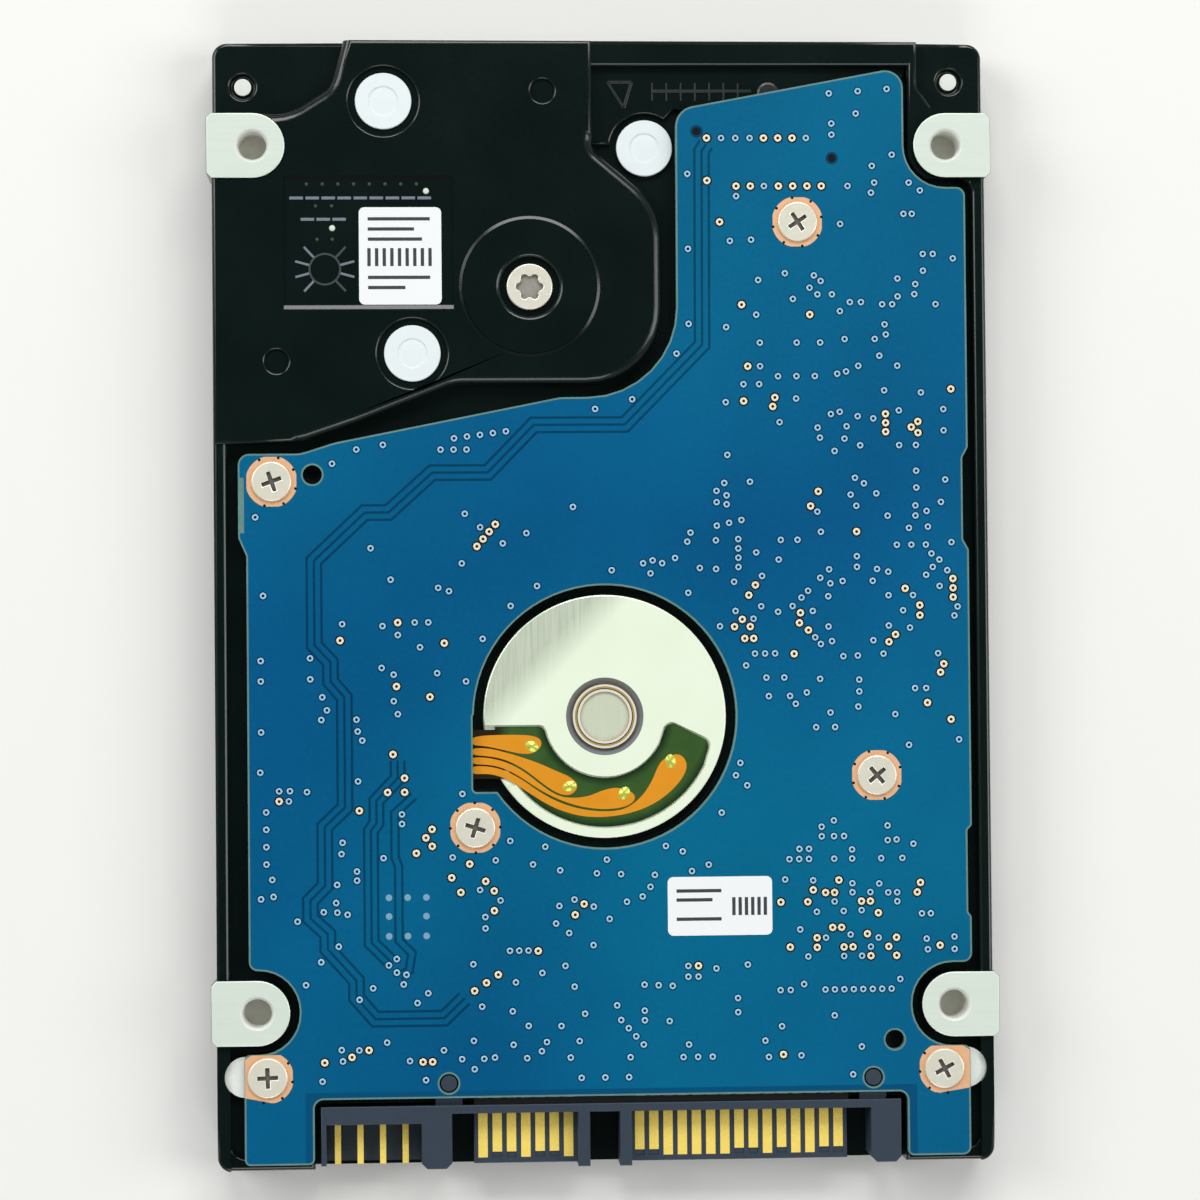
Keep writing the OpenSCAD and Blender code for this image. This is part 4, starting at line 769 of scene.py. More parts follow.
# a node's own solid with its upper edges eased; mark picks the faces of the second finish by their middle
def easedNode(name, node, width, mark, second, front=math.inf):
    shape = nodeCopy(node)
    edges = [edge for edge in tallRims(shape) if edge.verts[0].co.y < front * mm]
    roundEdges(shape, edges, width, 2)
    for face in shape.faces:
        face.material_index = int(mark(middleOf(face)))
    finishes = [slotFinish[nodeSlot[node]], second]
    levelNormals(addPiece(name, shape, finishes, node))


# connector housing: the lip behind its bar is painted black as painted shade, and edges behind the front
# line stay sharp
housing = {"round": 0.08, "front": -44.3, "lip": (-44.5, -43.2), "lipTop": 6.12}


def behindBar(middle):
    front, back = housing["lip"]
    return front < middle.y < back and middle.z < housing["lipTop"]


easedNode("slateHousing", "connector_housing", housing["round"], behindBar, lipShadeBlack, housing["front"])
print("connector housing done")


# board: blue mask inside a line of bare laminate along every cut edge
board = {
    "rim": 0.15,
    "top": 6.6,
    "proud": 0.012,
    "bareStrip": [(-32.03, 6.3), (-32.03, 11.2)],
    "stripWidth": 0.5,
    "stripProud": 0.006,
    "smallHoles": [(8.6, 41.9), (20.7, 39.5)],
    "holeReach": 0.36,
    "haloReach": 0.56,
    "haloProud": 0.008,
}


def buildBoard():
    shape = nodeCopy("circuit_board")
    for face in shape.faces:
        face.material_index = 0 if abs(face.normal.z) > 0.9 else 1
    upper = [face for face in shape.faces if facesUp(face)]
    rim = bmesh.ops.inset_region(
        shape, faces=upper, thickness=board["rim"] * mm, use_boundary=True, use_even_offset=True
    )["faces"]
    rimSet = set(rim)
    for face in rim:
        face.material_index = 1
    # the inside is filled anew, so that the holes stay open
    inner = dict.fromkeys(edge for face in upper for edge in face.edges)
    ends = [edge for edge in inner if any(face in rimSet for face in edge.link_faces)]
    bmesh.ops.delete(shape, geom=upper, context="FACES_ONLY")
    filled = bmesh.ops.triangle_fill(shape, edges=ends, use_beauty=True, normal=(0, 0, 1))["geom"]
    for item in filled:
        if isinstance(item, bmesh.types.BMFace):
            item.material_index = 0
            if item.normal.z < 0:
                item.normal_flip()
    loose = [edge for edge in shape.edges if not edge.link_faces]
    bmesh.ops.delete(shape, geom=loose, context="EDGES")
    surface = BVHTree.FromBMesh(shape)
    addPiece("boardSheet", shape, [boardMask, bareLaminate], "circuit_board")
    return surface


def buildBoardTrim():
    top = board["top"]
    low = top - sunk
    reach = board["holeReach"]
    shape = bmesh.new()
    gather(shape, ribbon(board["bareStrip"], board["stripWidth"], low, top + board["stripProud"]), 0)
    for place in board["smallHoles"]:
        # the small holes are flat dark discs, a painted shade
        gather(shape, peg(place, reach, reach, low, top + board["proud"], 20), 1)
        gather(shape, ring(place, reach, board["haloReach"], low, top + board["haloProud"], 20), 2)
    addPiece("boardTrim", shape, [bareLaminate, holeShadeDark, haloShadeMask])


boardSurface = buildBoard()
buildBoardTrim()

# signal lines below the mask: each path is run side by side at the shifts given with it
tracks = {
    "width": 0.2,
    "runs": [
        (
            [(8.9, 41.1), (8.4, 40.3), (8.3, 23.1), (1.7, 16.4), (-6.4, 16.4), (-10.5, 12.2), (-15.4, 12.2),
             (-19.3, 8.7), (-21.4, 8.7), (-26.3, 4.1), (-26.3, -3.9), (-24.9, -5.4), (-24.9, -7.1),
             (-23.7, -8.5), (-23.7, -17.7), (-25.5, -19.4), (-25.5, -24.6), (-26.8, -25.9), (-26.8, -28),
             (-25.3, -29.4), (-25.3, -30.7), (-22.8, -33.5), (-22.8, -35), (-20.8, -37.3), (-14.2, -37.3),
             (-12.2, -35.4)],
            (0, 0.64, 1.28),
        ),
        (
            [(-19, -13.9), (-19, -15.2), (-20.9, -17.2), (-20.9, -19.2), (-21.4, -19.9), (-21.4, -30.2),
             (-19.5, -32.1)],
            (0, 0.6, 1.2),
        ),
        (
            [(-17.2, -16.8), (-19, -18.4), (-19, -22.5), (-18.7, -23.3), (-18.7, -29.9), (-17.6, -31),
             (-17.8, -32.2), (-18.5, -32.6)],
            (0, 0.64),
        ),
    ],
}


def buildTracks():
    shape = bmesh.new()
    top = board["top"]
    for path, shifts in tracks["runs"]:
        for shift in shifts:
            gather(shape, ribbon(shiftPath(path, shift), tracks["width"], top, top + board["proud"]))
    addPiece("signalTracks", shape, [traceMask])


buildTracks()
print("board and tracks done")

# copper rings below the board screws, pricked round the rim, and the screws themselves
screws = {
    "places": [
        (17.55, 33.79), (-29.35, 10.84), (-11.58, -19.9),
        (24.18, -15.6), (-30.01, -41.7), (29.96, -41.7),
    ],
    "round": 0.1,
    "padReach": 2.3,
    "padProud": 0.02,
    "flat": 2.2,
    "frontLine": -40.0,
    "frontEdges": (-32.0, 32.25),
    # share of the way out to the edge, place along it
    "frontPad": [(0, 2.0), (0.72, 2.0), (1, 1.6), (1, -1.75), (0.6, -1.9)],
    "bore": 1.3,
    "pricks": 8,
    "prickReach": 2.2,
    "prick": 0.13,
    "prickProud": 0.026,
    "prickTurn": (0.2, 0.3),
    "prickEdge": 31.0,
    "headTop": 6.92,
    "crossReach": 1.02,
    "lobeTop": 6.6,
    "lobeReach": 1.35,
}


# the two front pads run out to the board's edge on their outer side
def padOutline(place):
    flat = screws["flat"]
    around = [
        (min(max(x - place[0], -flat), flat), min(max(y - place[1], -flat), flat))
        for x, y in circle(place, screws["padReach"], 48)
    ]
    if place[1] < screws["frontLine"]:
        reach = screws["frontEdges"][place[0] > 0] - place[0]
        rear = screws["frontPad"][0][1]
        inner = [(x, min(y, rear)) for x, y in around if x * reach < 0]
        outer = [(reach * share, y) for share, y in screws["frontPad"]]
        inner.sort(key=lambda spot: spot[1])
        around = outer + inner
    return [(place[0] + x, place[1] + y) for x, y in around]


def buildScrewPads():
    shape = bmesh.new()
    top = board["top"]
    low = top - sunk
    dot = screws["prick"]
    firstTurn, nextTurn = screws["prickTurn"]
    for number, place in enumerate(screws["places"]):
        outlines = [padOutline(place), circle(place, screws["bore"], 24)]
        gather(shape, plate(outlines, low, top + screws["padProud"]), 0)
        turn = firstTurn + nextTurn * number
        for x, y in circle(place, screws["prickReach"], screws["pricks"], turn):
            # none where the board ends
            below = boardSurface.ray_cast(Vector((x * 1.01, y, beyond)) * mm, down)[0]
            if below is not None and below.z > low * mm and abs(x) < screws["prickEdge"]:
                gather(shape, peg((x, y), dot, dot, low, top + screws["prickProud"], 10), 1)
    addPiece("screwPads", shape, [copperPad, holeShadeDark])


def inCross(middle):
    deep = middle.z < screws["headTop"] - 0.02
    return deep and nearest(middle, screws["places"]) < screws["crossReach"]


def inLobes(middle):
    return middle.z < screws["lobeTop"] and nearest(middle, [pivotXY]) < screws["lobeReach"]


buildScrewPads()
# the cross recesses and the pivot screw's lobes take the painted shade greys
easedNode("boardScrewHeads", "board_screws", screws["round"], inCross, recessShadeGrey)
easedNode("pivotScrewHead", "pivot_screw", screws["round"], inLobes, lobeShadeGrey)
print("screws done")

# labels: plain paper with rounded corners and a few plain bars
labels = {
    "corner": 0.5,
    "proud": 0.008,
    # left, right, place along
    "serialBars": [(-20.7, -15.2, 34.1), (-20.7, -16.6, 33.2), (-20.7, -15.9, 32.3), (-20.7, -15.2, 28.9),
                   (-20.7, -17.4, 28.0)],
    "serialBlock": (-20.6, -15.2, 30.7, 9),
    "boardBars": [(6.2, 10.2, -25.7), (6.2, 9.4, -26.5), (6.2, 10.2, -28.2)],
    "boardBlock": (11.3, 14.1, -27.1, 6),
    "line": 0.3,
    "blockHalf": 0.8,
}


def buildLabels():
    bars = bmesh.new()
    for node, piece in (("serial_label", "serialPaper"), ("board_label", "boardPaper")):
        low, high = (Vector(corner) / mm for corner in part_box(node))
        centre = ((low.x + high.x) / 2, (low.y + high.y) / 2)
        size = (high.x - low.x, high.y - low.y)
        paper = plate([roundBox(centre, size, labels["corner"])], low.z, high.z)
        addPiece(piece, paper, [slotFinish["label_white"]], node)
        foot = high.z - sunk
        top = high.z + labels["proud"]
        name = node.split("_")[0]
        for left, right, y in labels[name + "Bars"]:
            gather(bars, bar((left, y), (right, y), labels["line"], foot, top))
        left, right, y, count = labels[name + "Block"]
        for step in range(count):
            x = left + (right - left) * step / (count - 1)
            half = labels["blockHalf"]
            gather(bars, bar((x, y - half), (x, y + half), labels["line"], foot, top))
    addPiece("labelBars", bars, [inkGrey])


buildLabels()
print("labels done")

# plated holes: rows as (x, y, step in x, step in y, count), and single spots
vias = {
    "bore": 0.14,
    "flat": 0.008,
    "tall": 0.035,
    "lips": (0.03, 0.04),
    # reach of the ring and of the dark line round it, which is painted shade at the edge of the mask's
    # opening
    "silver": (0.3, 0.42),
    "gold": (0.34, 0.48),
    "silverRows": [
        (10.8, 41.3, 1.28, 0, 3), (7.75, 38.1, 0, -6.7, 3), (20.5, 45.3, 2.6, 0.2, 3),
        (20.7, 42.6, 0, -1, 2), (27.1, 34.5, 0.75, 0, 2), (28.8, 30.9, 0.9, 0, 2), (22.2, 26.6, 1, 0, 2),
        (25.1, 26.4, 0.9, 0, 2), (25.3, 24.6, 0.1, -0.9, 2), (28.1, 28.2, -0.1, -0.9, 2),
        (15.7, 20, 1.65, 0, 3), (12.6, 19.3, 1.4, 0, 2), (21, 20.2, 0.8, 0.2, 2), (26.5, 13.8, 1.5, 0, 2),
        (10.1, 9.8, 0, -1, 2), (11, 9.4, 0, -0.8, 2), (12, 5.5, 0, -0.83, 4), (10.1, 6.7, 1.1, 0.25, 3),
        (15.8, 5.4, 1.5, 0, 2), (27.9, 8.4, 0, -0.9, 2), (26.2, 4.9, 1.3, 0, 3),
        (29.3, 4.1, 0.7, -0.55, 2), (29.4, 2.9, -0.6, -0.7, 2), (22.6, 3.9, 0, -0.95, 2),
        (13.4, -4.7, 0.9, 0, 3), (18.8, -3.3, 0.5, -0.6, 2), (14.4, -6.85, 1.6, 0, 2),
        (22.7, -7.1, 0, -1.05, 2), (27.7, -7.9, 1, 0, 2), (19.2, -20.15, 0, -0.85, 2),
        (20.3, -21, 0.9, 0, 2), (25.1, -20.1, 0, -1.3, 2), (17.2, -22.1, 0.85, 0, 2),
        (16.3, -23, 0.87, 0, 3), (21.9, -22.2, 0, -0.8, 2), (24.5, -23, 1.9, 0, 2),
        (21.9, -25.2, 0, -0.8, 2), (25.1, -26.05, 0.8, 0, 2), (28.1, -27.95, 0.8, 0, 2),
        (28.5, -30.2, 0.1, -0.95, 2), (31, -30.05, 0, -1.1, 2), (21.1, -31.65, 1.6, 0, 2),
        (15.4, -34.6, 0.9, 0, 2), (19.4, -34.6, 0.845, 0, 8), (11.6, -35.25, 0, -1.25, 2),
        (6.7, -40.4, 1.3, 0, 3), (-13.2, 14.6, 1.15, 0.15, 5), (-14.4, 13.6, 1.15, 0, 3),
        (-8.6, -30.8, 0.82, 0, 3), (3.3, -33.95, 1.25, -0.07, 3), (7.2, -32.35, 0, -0.95, 2),
        (-28.85, -16.5, 0.95, 0, 2), (-30.4, -5, 0, -1.8, 2), (-30, -18.35, 0, -1.53, 4),
        (-2.35, -42.1, 2.1, 0, 3), (1.2, -37.05, 0.66, -0.73, 4), (3.3, -36.25, 0, -0.85, 2),
        (7.75, 6.1, -0.3, -0.8, 2), (-14.7, 1.35, 0.95, -0.3, 2), (-16.8, -1.7, 1.2, 0, 2),
        (-26.05, -4.8, 0, -1.85, 2), (-18.05, -18.65, 0, -0.85, 2), (-22.05, -23.65, 0, -0.8, 2),
        (-10.75, -27.8, 0, -1, 2), (-23.3, -21.1, -0.1, -1, 2), (-5.4, -38.9, -0.45, -0.8, 2),
    ],
    "silverSpots": [
        (18.4, 41.3), (14.6, 37), (22.9, 43.5), (26.1, 39.8), (24.3, 38.8), (27.6, 37.3), (28.6, 36.6),
        (24.5, 37.3), (24.2, 36.4), (22.1, 37), (12.1, 36.1), (21.4, 33.6), (11.5, 32.1), (13.4, 32.2),
        (31.5, 30.5), (28.8, 29.4), (16.4, 29.2), (14, 28.6), (19, 29), (19.6, 28.5), (18.6, 27.9),
        (19.3, 27.3), (20.6, 27.3), (26.5, 28.7), (26.5, 27.1), (17.1, 26.9), (13.8, 25.5), (21.3, 25.8),
        (29.9, 26.4), (11.1, 24.4), (14.1, 23), (17.4, 23), (19.5, 23), (21.7, 23.3), (24.4, 23.3),
        (24.8, 21.8), (14.1, 20.9), (22.9, 20.9), (26.4, 20.9), (11, 17.7), (17.3, 18), (25.2, 18.7),
        (28.5, 18.5), (20.4, 16.6), (21.2, 16.8), (22.8, 16.4), (24.2, 16.2), (26.5, 16.9), (30.5, 17),
        (30.5, 15.1), (15.8, 15.9), (19.2, 15.4), (19.4, 14.5), (21.8, 15.5), (21.6, 14.4), (20.7, 13.3),
        (23, 13.8), (11.1, 13), (28, 11.5), (10.8, 10.5), (13.1, 10.6), (22.5, 10.9), (23.3, 10.4),
        (24.4, 9.5), (22.1, 9.4), (22.6, 8.4), (19.1, 7.9), (28, 10), (30.6, 10.7), (30.2, 8.7),
        (28.9, 7.9), (29, 6.5), (27.3, 6.4), (25.4, 7.5), (19.4, 6.1), (10, 5.4), (13.6, 4.3),
        (31.1, 5.1), (10, 2.85), (15.6, 3.65), (14.1, 2.2), (11.6, 1.7), (20.1, 2.75), (19.3, 2),
        (20.2, 1.5), (21.3, 1.7), (18.2, 0.85), (17.6, 0.25), (20, 0.35), (24.4, 2.75), (25.4, 2.5),
        (24, 1.7), (25.4, 0.4), (27.6, 0.4), (26.7, -0.95), (30.7, 2.6), (30, 1.2), (31.6, -0.65),
        (31.3, -1.45), (14, -0.5), (15.5, -1), (11.7, -0.9), (13.3, -1.6), (10.3, -2.25), (16.8, -0.5),
        (18.6, -0.95), (20.3, -3.65), (20, -2.35), (21.3, -5), (22.6, -4.95), (25.4, -2.3), (27.3, -2.5),
        (24, -3.6), (24.9, -4.8), (29.8, -4.8), (12.6, -5.75), (19.2, -7), (22.6, -9.5), (14.6, -8.5),
        (16.5, -8.5), (18, -8.2), (17, -9.2), (20.1, -10), (18.8, -11.3), (20.5, -11.3), (25.9, -10.2),
        (31.6, -12.5), (27.1, -12.95), (12, -14.4), (11.6, -15.5), (12.6, -16.4), (10.3, -18.8),
        (20.3, -19.6), (25.9, -21.35), (27.4, -21.75), (20.3, -23), (9.1, -23.4), (15.9, -24.8),
        (18.4, -24.9), (24.3, -25.25), (23.5, -26), (20.3, -26.8), (25.9, -26.85), (18.7, -27.7),
        (21.1, -27.65), (22.7, -27.6), (17.2, -29.25), (19.5, -30), (21.7, -29.75), (24.2, -30.05),
        (23.5, -30.85), (17.9, -31.65), (9.7, -32.6), (12.5, -32.3), (8.1, -33.3), (17.5, -34.1),
        (26.1, -33.75), (20.2, -36.9), (15.5, -37.8), (14, -39.05), (14.3, -40.5), (17.2, -40.4),
        (22.6, -39.7), (21.8, -42.15), (6.65, 22.05), (2.65, 18), (-0.65, 17.15), (-21.85, 13.65),
        (-19.5, 14.05), (-24, 12.4), (-30.8, 7.7), (-12.3, 7.9), (-10.95, 6.7), (-6.85, 6.15),
        (-8.95, 5.25), (-2.7, 8.45), (-20.65, 4.9), (-12.6, 3.5), (3.5, 3.4), (4.35, 3.65), (5.2, 3.4),
        (6.35, 3.85), (4.15, 2.5), (8.55, 2.95), (0.7, 2.8), (7.5, 0.75), (-5.95, 1.45), (-8.3, -0.3),
        (-10.8, -3.2), (-18.9, 2.1), (-30.15, 0.75), (-23.2, -1.8), (-19.65, -2), (-18.3, -2.8),
        (-16.35, -3.9), (-30.4, -11.3), (-19.75, -5.7), (-18.7, -6.3), (-18.7, -8.65), (-18.35, -9.8),
        (-14.85, -6.2), (-12.3, -6.95), (-25, -8.25), (-24.6, -9.4), (-25.1, -10.25), (-22, -10.25),
        (-21.9, -11.3), (-21.5, -12.1), (-30.5, -14.85), (-26.4, -16.6), (-28, -17.4), (-29.5, -24.3),
        (-30.5, -26), (-29.4, -25.8), (-27.3, -28), (-21.9, -15.7), (-12.7, -16.9), (-19.7, -22.5),
        (-23.8, -24.8), (-23.9, -26.4), (-23.8, -27.25), (-25, -27.2), (-22.9, -27.45), (-23.7, -30.25),
        (-25.25, -31.6), (-26.6, -33.6), (-18.6, -31.4), (-19.3, -31.95), (-18.6, -32.6), (-17.75, -32.8),
        (-18, -33.65), (-20.7, -33.95), (-21.9, -34.95), (-15.85, -34.45), (-16.8, -35.3), (-13.6, -22.5),
        (-9.8, -22.8), (-11.2, -25.4), (-9.4, -26.35), (-8.5, -21.1), (-11.85, -31.95), (-8.1, -33.6),
        (-11.1, -35.7), (-8.4, -36.15), (-19.5, -38.75), (-11.85, -38.7), (-8.35, -39.1), (-23.5, -39.35),
        (-21.95, -39.4), (-23.4, -40.35), (-14.5, -39.5), (-17.5, -40.4), (-12.9, -40.3), (-10.95, -40.3),
        (-10, -40.2), (-11.8, -41.2), (-16.1, -42.1), (-25.2, -42.1), (-5.4, -21.65), (-6.5, -23.2),
        (-4.1, -23.75), (0.05, -22.85), (-0.85, -24.05), (1.3, -24.15), (5.3, -21.7), (6.8, -22.2),
        (7.6, -23.95), (4.3, -24.25), (3.9, -25.3), (3.2, -26.15), (1.8, -26.6), (-2.85, -26.35),
        (-1.15, -27), (-4.2, -26.9), (-4.5, -28.45), (-3.35, -29.3), (0.25, -28.1), (-1.2, -30.4),
        (-3.7, -32.2), (-5.75, -32.8), (-2.9, -34.05), (0.85, -35.75), (5.5, -37.2), (-2, -36.45),
        (-4.1, -37.5), (-7, -37.45), (-2.5, -38.85), (-7.15, -40.3), (-3.3, -40.3), (2, -40.35),
        (7.2, -39.3),
    ],
    "goldRows": [
        (14.6, 41.3, 1.28, 0, 3), (12.1, 37, 1.28, 0, 2), (15.9, 37, 1.28, 0, 4),
        (15.2, 17.3, 0.2, 0.8, 2), (25.3, 16.6, 0, -0.8, 3), (28.2, 15.9, 0, -1, 2),
        (31.2, 1.85, 0, -0.83, 3), (28.2, -0.5, 0, -0.9, 2), (12.9, 0.5, 0.6, 0.9, 2),
        (11.6, -2.3, 1.4, 0, 2), (12.5, -3.35, 0.8, 0, 2), (17.5, -1.1, -0.1, -0.9, 2),
        (25.4, -3.75, 0.6, 0.65, 2), (30.3, -5.75, -0.3, -0.75, 2), (19.5, -26, 0.8, 0, 2),
        (27.7, -26.05, 0.3, 0.85, 2), (22.7, -26.8, 0.8, 0, 2), (20.1, -29.1, 0.8, 0, 2),
        (18.7, -30, 0, -0.85, 2), (21.1, -30.85, 0.8, 0, 2), (-11.25, 5, 0.55, 0.65, 4),
        (-16.35, -40.5, 0.85, 0, 2), (-11.75, -34.3, 1.05, 0.7, 3), (-17.8, -15.45, 0, -1.25, 2),
        (-15.4, -20, 0, -1.5, 2), (-13.7, -24.3, 0.8, -1.3, 2), (-9.95, -25.5, 0, -1.75, 2),
        (-2, -26.75, -0.8, -0.95, 2),
    ],
    "goldSpots": [
        (9.5, 41.3), (9.5, 37.5), (10.6, 33.8), (12.5, 26.4), (18.6, 25.5), (13, 20.9), (12.6, 17.8),
        (31.2, 18.8), (27.6, 15.4), (19.2, 9.7), (18.5, 8.4), (22.6, 6.1), (26.9, 1), (12.3, -1.65),
        (18.2, -2.65), (16.9, -4.75), (28.8, -9.2), (30.9, -10.7), (20.7, -24.9), (18.4, -25.75),
        (15.5, -26.8), (17.9, -26.8), (24.2, -27.85), (23.2, -29.7), (25.8, -30.05), (16.3, -30.8),
        (25.1, -30.85), (29.7, -30.8), (23.5, -31.65), (25.8, -31.65), (8.1, -32.35), (15.6, -40.3),
        (-6.1, -30.85), (-28.85, -17.4), (-18.3, -1.7), (-14.2, -3.55), (-23.4, -3.25), (-18.45, -7.35),
        (-15.5, -8.3), (-18.8, -13.35), (-21.8, -18.3), (-19.3, -16.7), (-15.95, -20.75), (-16.8, -22.1),
        (-12.1, -23.1), (-10.7, -24.65), (-21.1, -39.4), (-22.6, -40), (-25, -40.45),
    ],
    "dots": [
        (-19.25, -26), (-17.6, -26), (-15.95, -26), (-19.25, -27.65),
        (-15.95, -27.65), (-19.25, -29.4), (-17.6, -29.4), (-15.95, -29.4),
    ],
    "dotReach": 0.31,
    "dotTop": 0.26,
    "dotProud": 0.03,
}


def alongRow(x, y, stepX, stepY, count):
    return [(x + stepX * step, y + stepY * step) for step in range(count)]


def viaPlaces(kind):
    inRows = [spot for row in vias[kind + "Rows"] for spot in alongRow(*row)]
    return inRows + vias[kind + "Spots"]


def buildVias(name, places, kind, finishes):
    rim, halo = vias[kind]
    bore = vias["bore"]
    innerLip, outerLip = vias["lips"]
    flat = board["top"] + vias["flat"]
    crown = board["top"] + vias["tall"]
    profile = [
        (0, flat),
        (bore, flat),
        (bore + innerLip, crown),
        (rim - outerLip, crown),
        (rim, flat),
        (halo, flat),
        (0, board["top"] - 2 * sunk),
    ]
    one = turned(profile, (0, 0), 8)
    for face in one.faces:
        reach = max(math.hypot(vert.co.x, vert.co.y) for vert in face.verts) / mm
        face.material_index = 1 if reach < bore + 0.01 else 2 if reach > rim + 0.02 else 0
    mesh = bpy.data.meshes.new("via")
    one.to_mesh(mesh)
    one.free()
    shape = bmesh.new()
    for x, y in places:
        known = len(shape.verts)
        shape.from_mesh(mesh)
        shape.verts.ensure_lookup_table()
        bmesh.ops.translate(shape, verts=shape.verts[known:], vec=(x * mm, y * mm, 0))
    bpy.data.meshes.remove(mesh)
    addPiece(name, shape, finishes)


silverPlaces = viaPlaces("silver")
goldPlaces = viaPlaces("gold")
buildVias("silverVias", silverPlaces, "silver", [tinSilver, holeShadeDark, haloShadeMask])
# gold vias draw their dark line in the near black painted shade
buildVias("goldVias", goldPlaces, "gold", [viaGold, holeShadeDark, holeShadeDark])
print("plated holes:", len(silverPlaces) + len(goldPlaces))


def buildTestDots():
    shape = bmesh.new()
    top = board["top"]
    for place in vias["dots"]:
        dot = peg(place, vias["dotTop"], vias["dotReach"], top - sunk, top + vias["dotProud"], 16)
        gather(shape, dot)
    addPiece("testDots", shape, [dotTin])


buildTestDots()

# motor face: flange with its bored mouth, flex with copper under film, solder points, bearing rings
motor = {
    "mouth": 0.6,
    "mouthReach": 3.0,
    "mouthEnd": 4.0,
    "outerRim": 10.7,
    "outerRound": 0.12,
    "flexTop": 5.9,
    "proud": 0.02,
    "copper": [
        [(-11.9, -11.8), (-8.5, -11.7), (-6.1, -11.8), (-5.5, -12.5), (-6.1, -13.3), (-7.1, -13.5),
         (-8.9, -13.1), (-10.6, -12.7), (-11.9, -12.6)],
        [(-11.9, -12.85), (-10.2, -12.9), (-8.4, -13.4), (-6, -14.2), (-4.3, -15), (-3.1, -15.5),
         (-2.4, -16.2), (-2.7, -16.9), (-3.4, -17.2), (-4.4, -16.9), (-5.6, -16.05), (-7, -14.9),
         (-8.6, -14), (-10.2, -13.6), (-11.9, -13.5)],
        [(-11.9, -13.65), (-10.2, -13.75), (-8.6, -14.2), (-7.1, -15.05), (-5.7, -16.2), (-4.5, -17.05),
         (-3.3, -17.4), (-1.6, -17.3), (-0.2, -16.7), (1.1, -16.45), (2.5, -16.9), (2.7, -17.6),
         (1.9, -18.2), (0.2, -18.45), (-1.9, -18.25), (-4, -17.6), (-5.9, -16.6), (-7.6, -15.4),
         (-9.2, -14.6), (-10.4, -14.35), (-11.9, -14.3)],
        [(-11.9, -14.45), (-10.3, -14.5), (-9.1, -14.8), (-7.6, -15.55), (-5.9, -16.8), (-4.1, -17.8),
         (-2, -18.45), (0.2, -18.65), (1.9, -18.4), (3.3, -17.3), (4.2, -15.9), (4.8, -14.4),
         (5.5, -13.8), (6.6, -13.5), (7.3, -14.2), (7.2, -15.3), (6, -16.8), (4.2, -18.1), (1.9, -18.9),
         (-0.5, -19.15), (-2.6, -18.95), (-4.7, -18.2), (-6.5, -17.1), (-8.2, -15.9), (-9.6, -15.3),
         (-10.6, -15.15), (-11.9, -15.2)],
    ],
    "solder": [(-6.5, -12.76), (-3.18, -16.33), (1.67, -17.0), (5.83, -14.2)],
    "solderReach": 0.62,
    "sleeveTop": 6.05,
    # inner and outer reach, height above the sleeve, finish
    "rings": [(2.2, 2.42, 0.012, 0), (2.42, 2.5, 0.004, 1), (2.5, 2.66, 0.01, 2), (2.66, 2.84, 0.02, 0)],
    # share of the reach, height
    "dome": [(0, 0.2), (0.35, 0.16), (0.7, 0.08), (1, 0.02), (1, -0.01), (0, -0.01)],
    "domeSquash": 0.72,
}


def buildFlange():
    shape = nodeCopy("motor_flange")
    outer = [edge for edge in tallRims(shape) if edgeReach(edge, [motorXY]) > motor["outerRim"]]
    roundEdges(shape, outer, motor["outerRound"], 2)
    mouth = [edge for edge in tallRims(shape) if edgeReach(edge, [motorXY]) < motor["mouthReach"]]
    roundEdges(shape, mouth, motor["mouth"], 1)
    # the mouth chamfer takes the grey painted reflection
    for face in shape.faces:
        inMouth = nearest(middleOf(face), [motorXY]) < motor["mouthEnd"]
        face.material_index = int(inMouth and isSlanted(face))
    finishes = [slotFinish["flange_metal"], chamferReflectionGrey]
    levelNormals(addPiece("flangeDisc", shape, finishes, "motor_flange"))


def buildBearingRings():
    shape = bmesh.new()
    top = motor["sleeveTop"]
    # finish 1 is painted shade, a dark line in the gap between the bearing's rings
    for inner, outer, tall, finish in motor["rings"]:
        gather(shape, ring(motorXY, inner, outer, top - sunk, top + tall, 64), finish)
    addPiece("bearingRings", shape, [ringWhite, holeShadeDark, ringGold])


def buildMotorFace():
    top = motor["flexTop"]
    addPiece("flexSheet", nodeCopy("motor_flex"), [flexFilm], "motor_flex")
    copper = bmesh.new()
    for outline in motor["copper"]:
        gather(copper, plate([outline], top - sunk, top + motor["proud"], True))
    addPiece("flexCopperLines", copper, [flexCopper])
    blobs = bmesh.new()
    reach = motor["solderReach"]
    for number, (x, y) in enumerate(motor["solder"]):
        one = turned([(share * reach, top + height) for share, height in motor["dome"]], (0, 0), 16)
        bmesh.ops.scale(one, vec=(1.0, motor["domeSquash"], 1.0), verts=one.verts)
        turn = Matrix.Rotation(0.7 * number - 0.4, 3, "Z")
        bmesh.ops.rotate(one, cent=(0, 0, 0), matrix=turn, verts=one.verts)
        bmesh.ops.translate(one, verts=one.verts, vec=(x * mm, y * mm, 0))
        gather(blobs, one)
    addPiece("solderPoints", blobs, [solderBlob])


buildFlange()
buildBearingRings()
buildMotorFace()
print("motor face done")

# hole seals: thin white film, pressed in a little where it spans the hole
seals = {
    "places": [(-19.26, 44.59, 6.7), (-16.83, 22.15, 6.7), (3.99, 40.56, 5.55)],
    # reach, depth below the top
    "profile": [
        (0, 0.06), (0.7, 0.08), (1.1, 0.1), (1.22, 0.1), (1.36, 0),
        (2.44, 0), (2.5, 0.05), (2.5, 0.25), (0, 0.25),
    ],
}


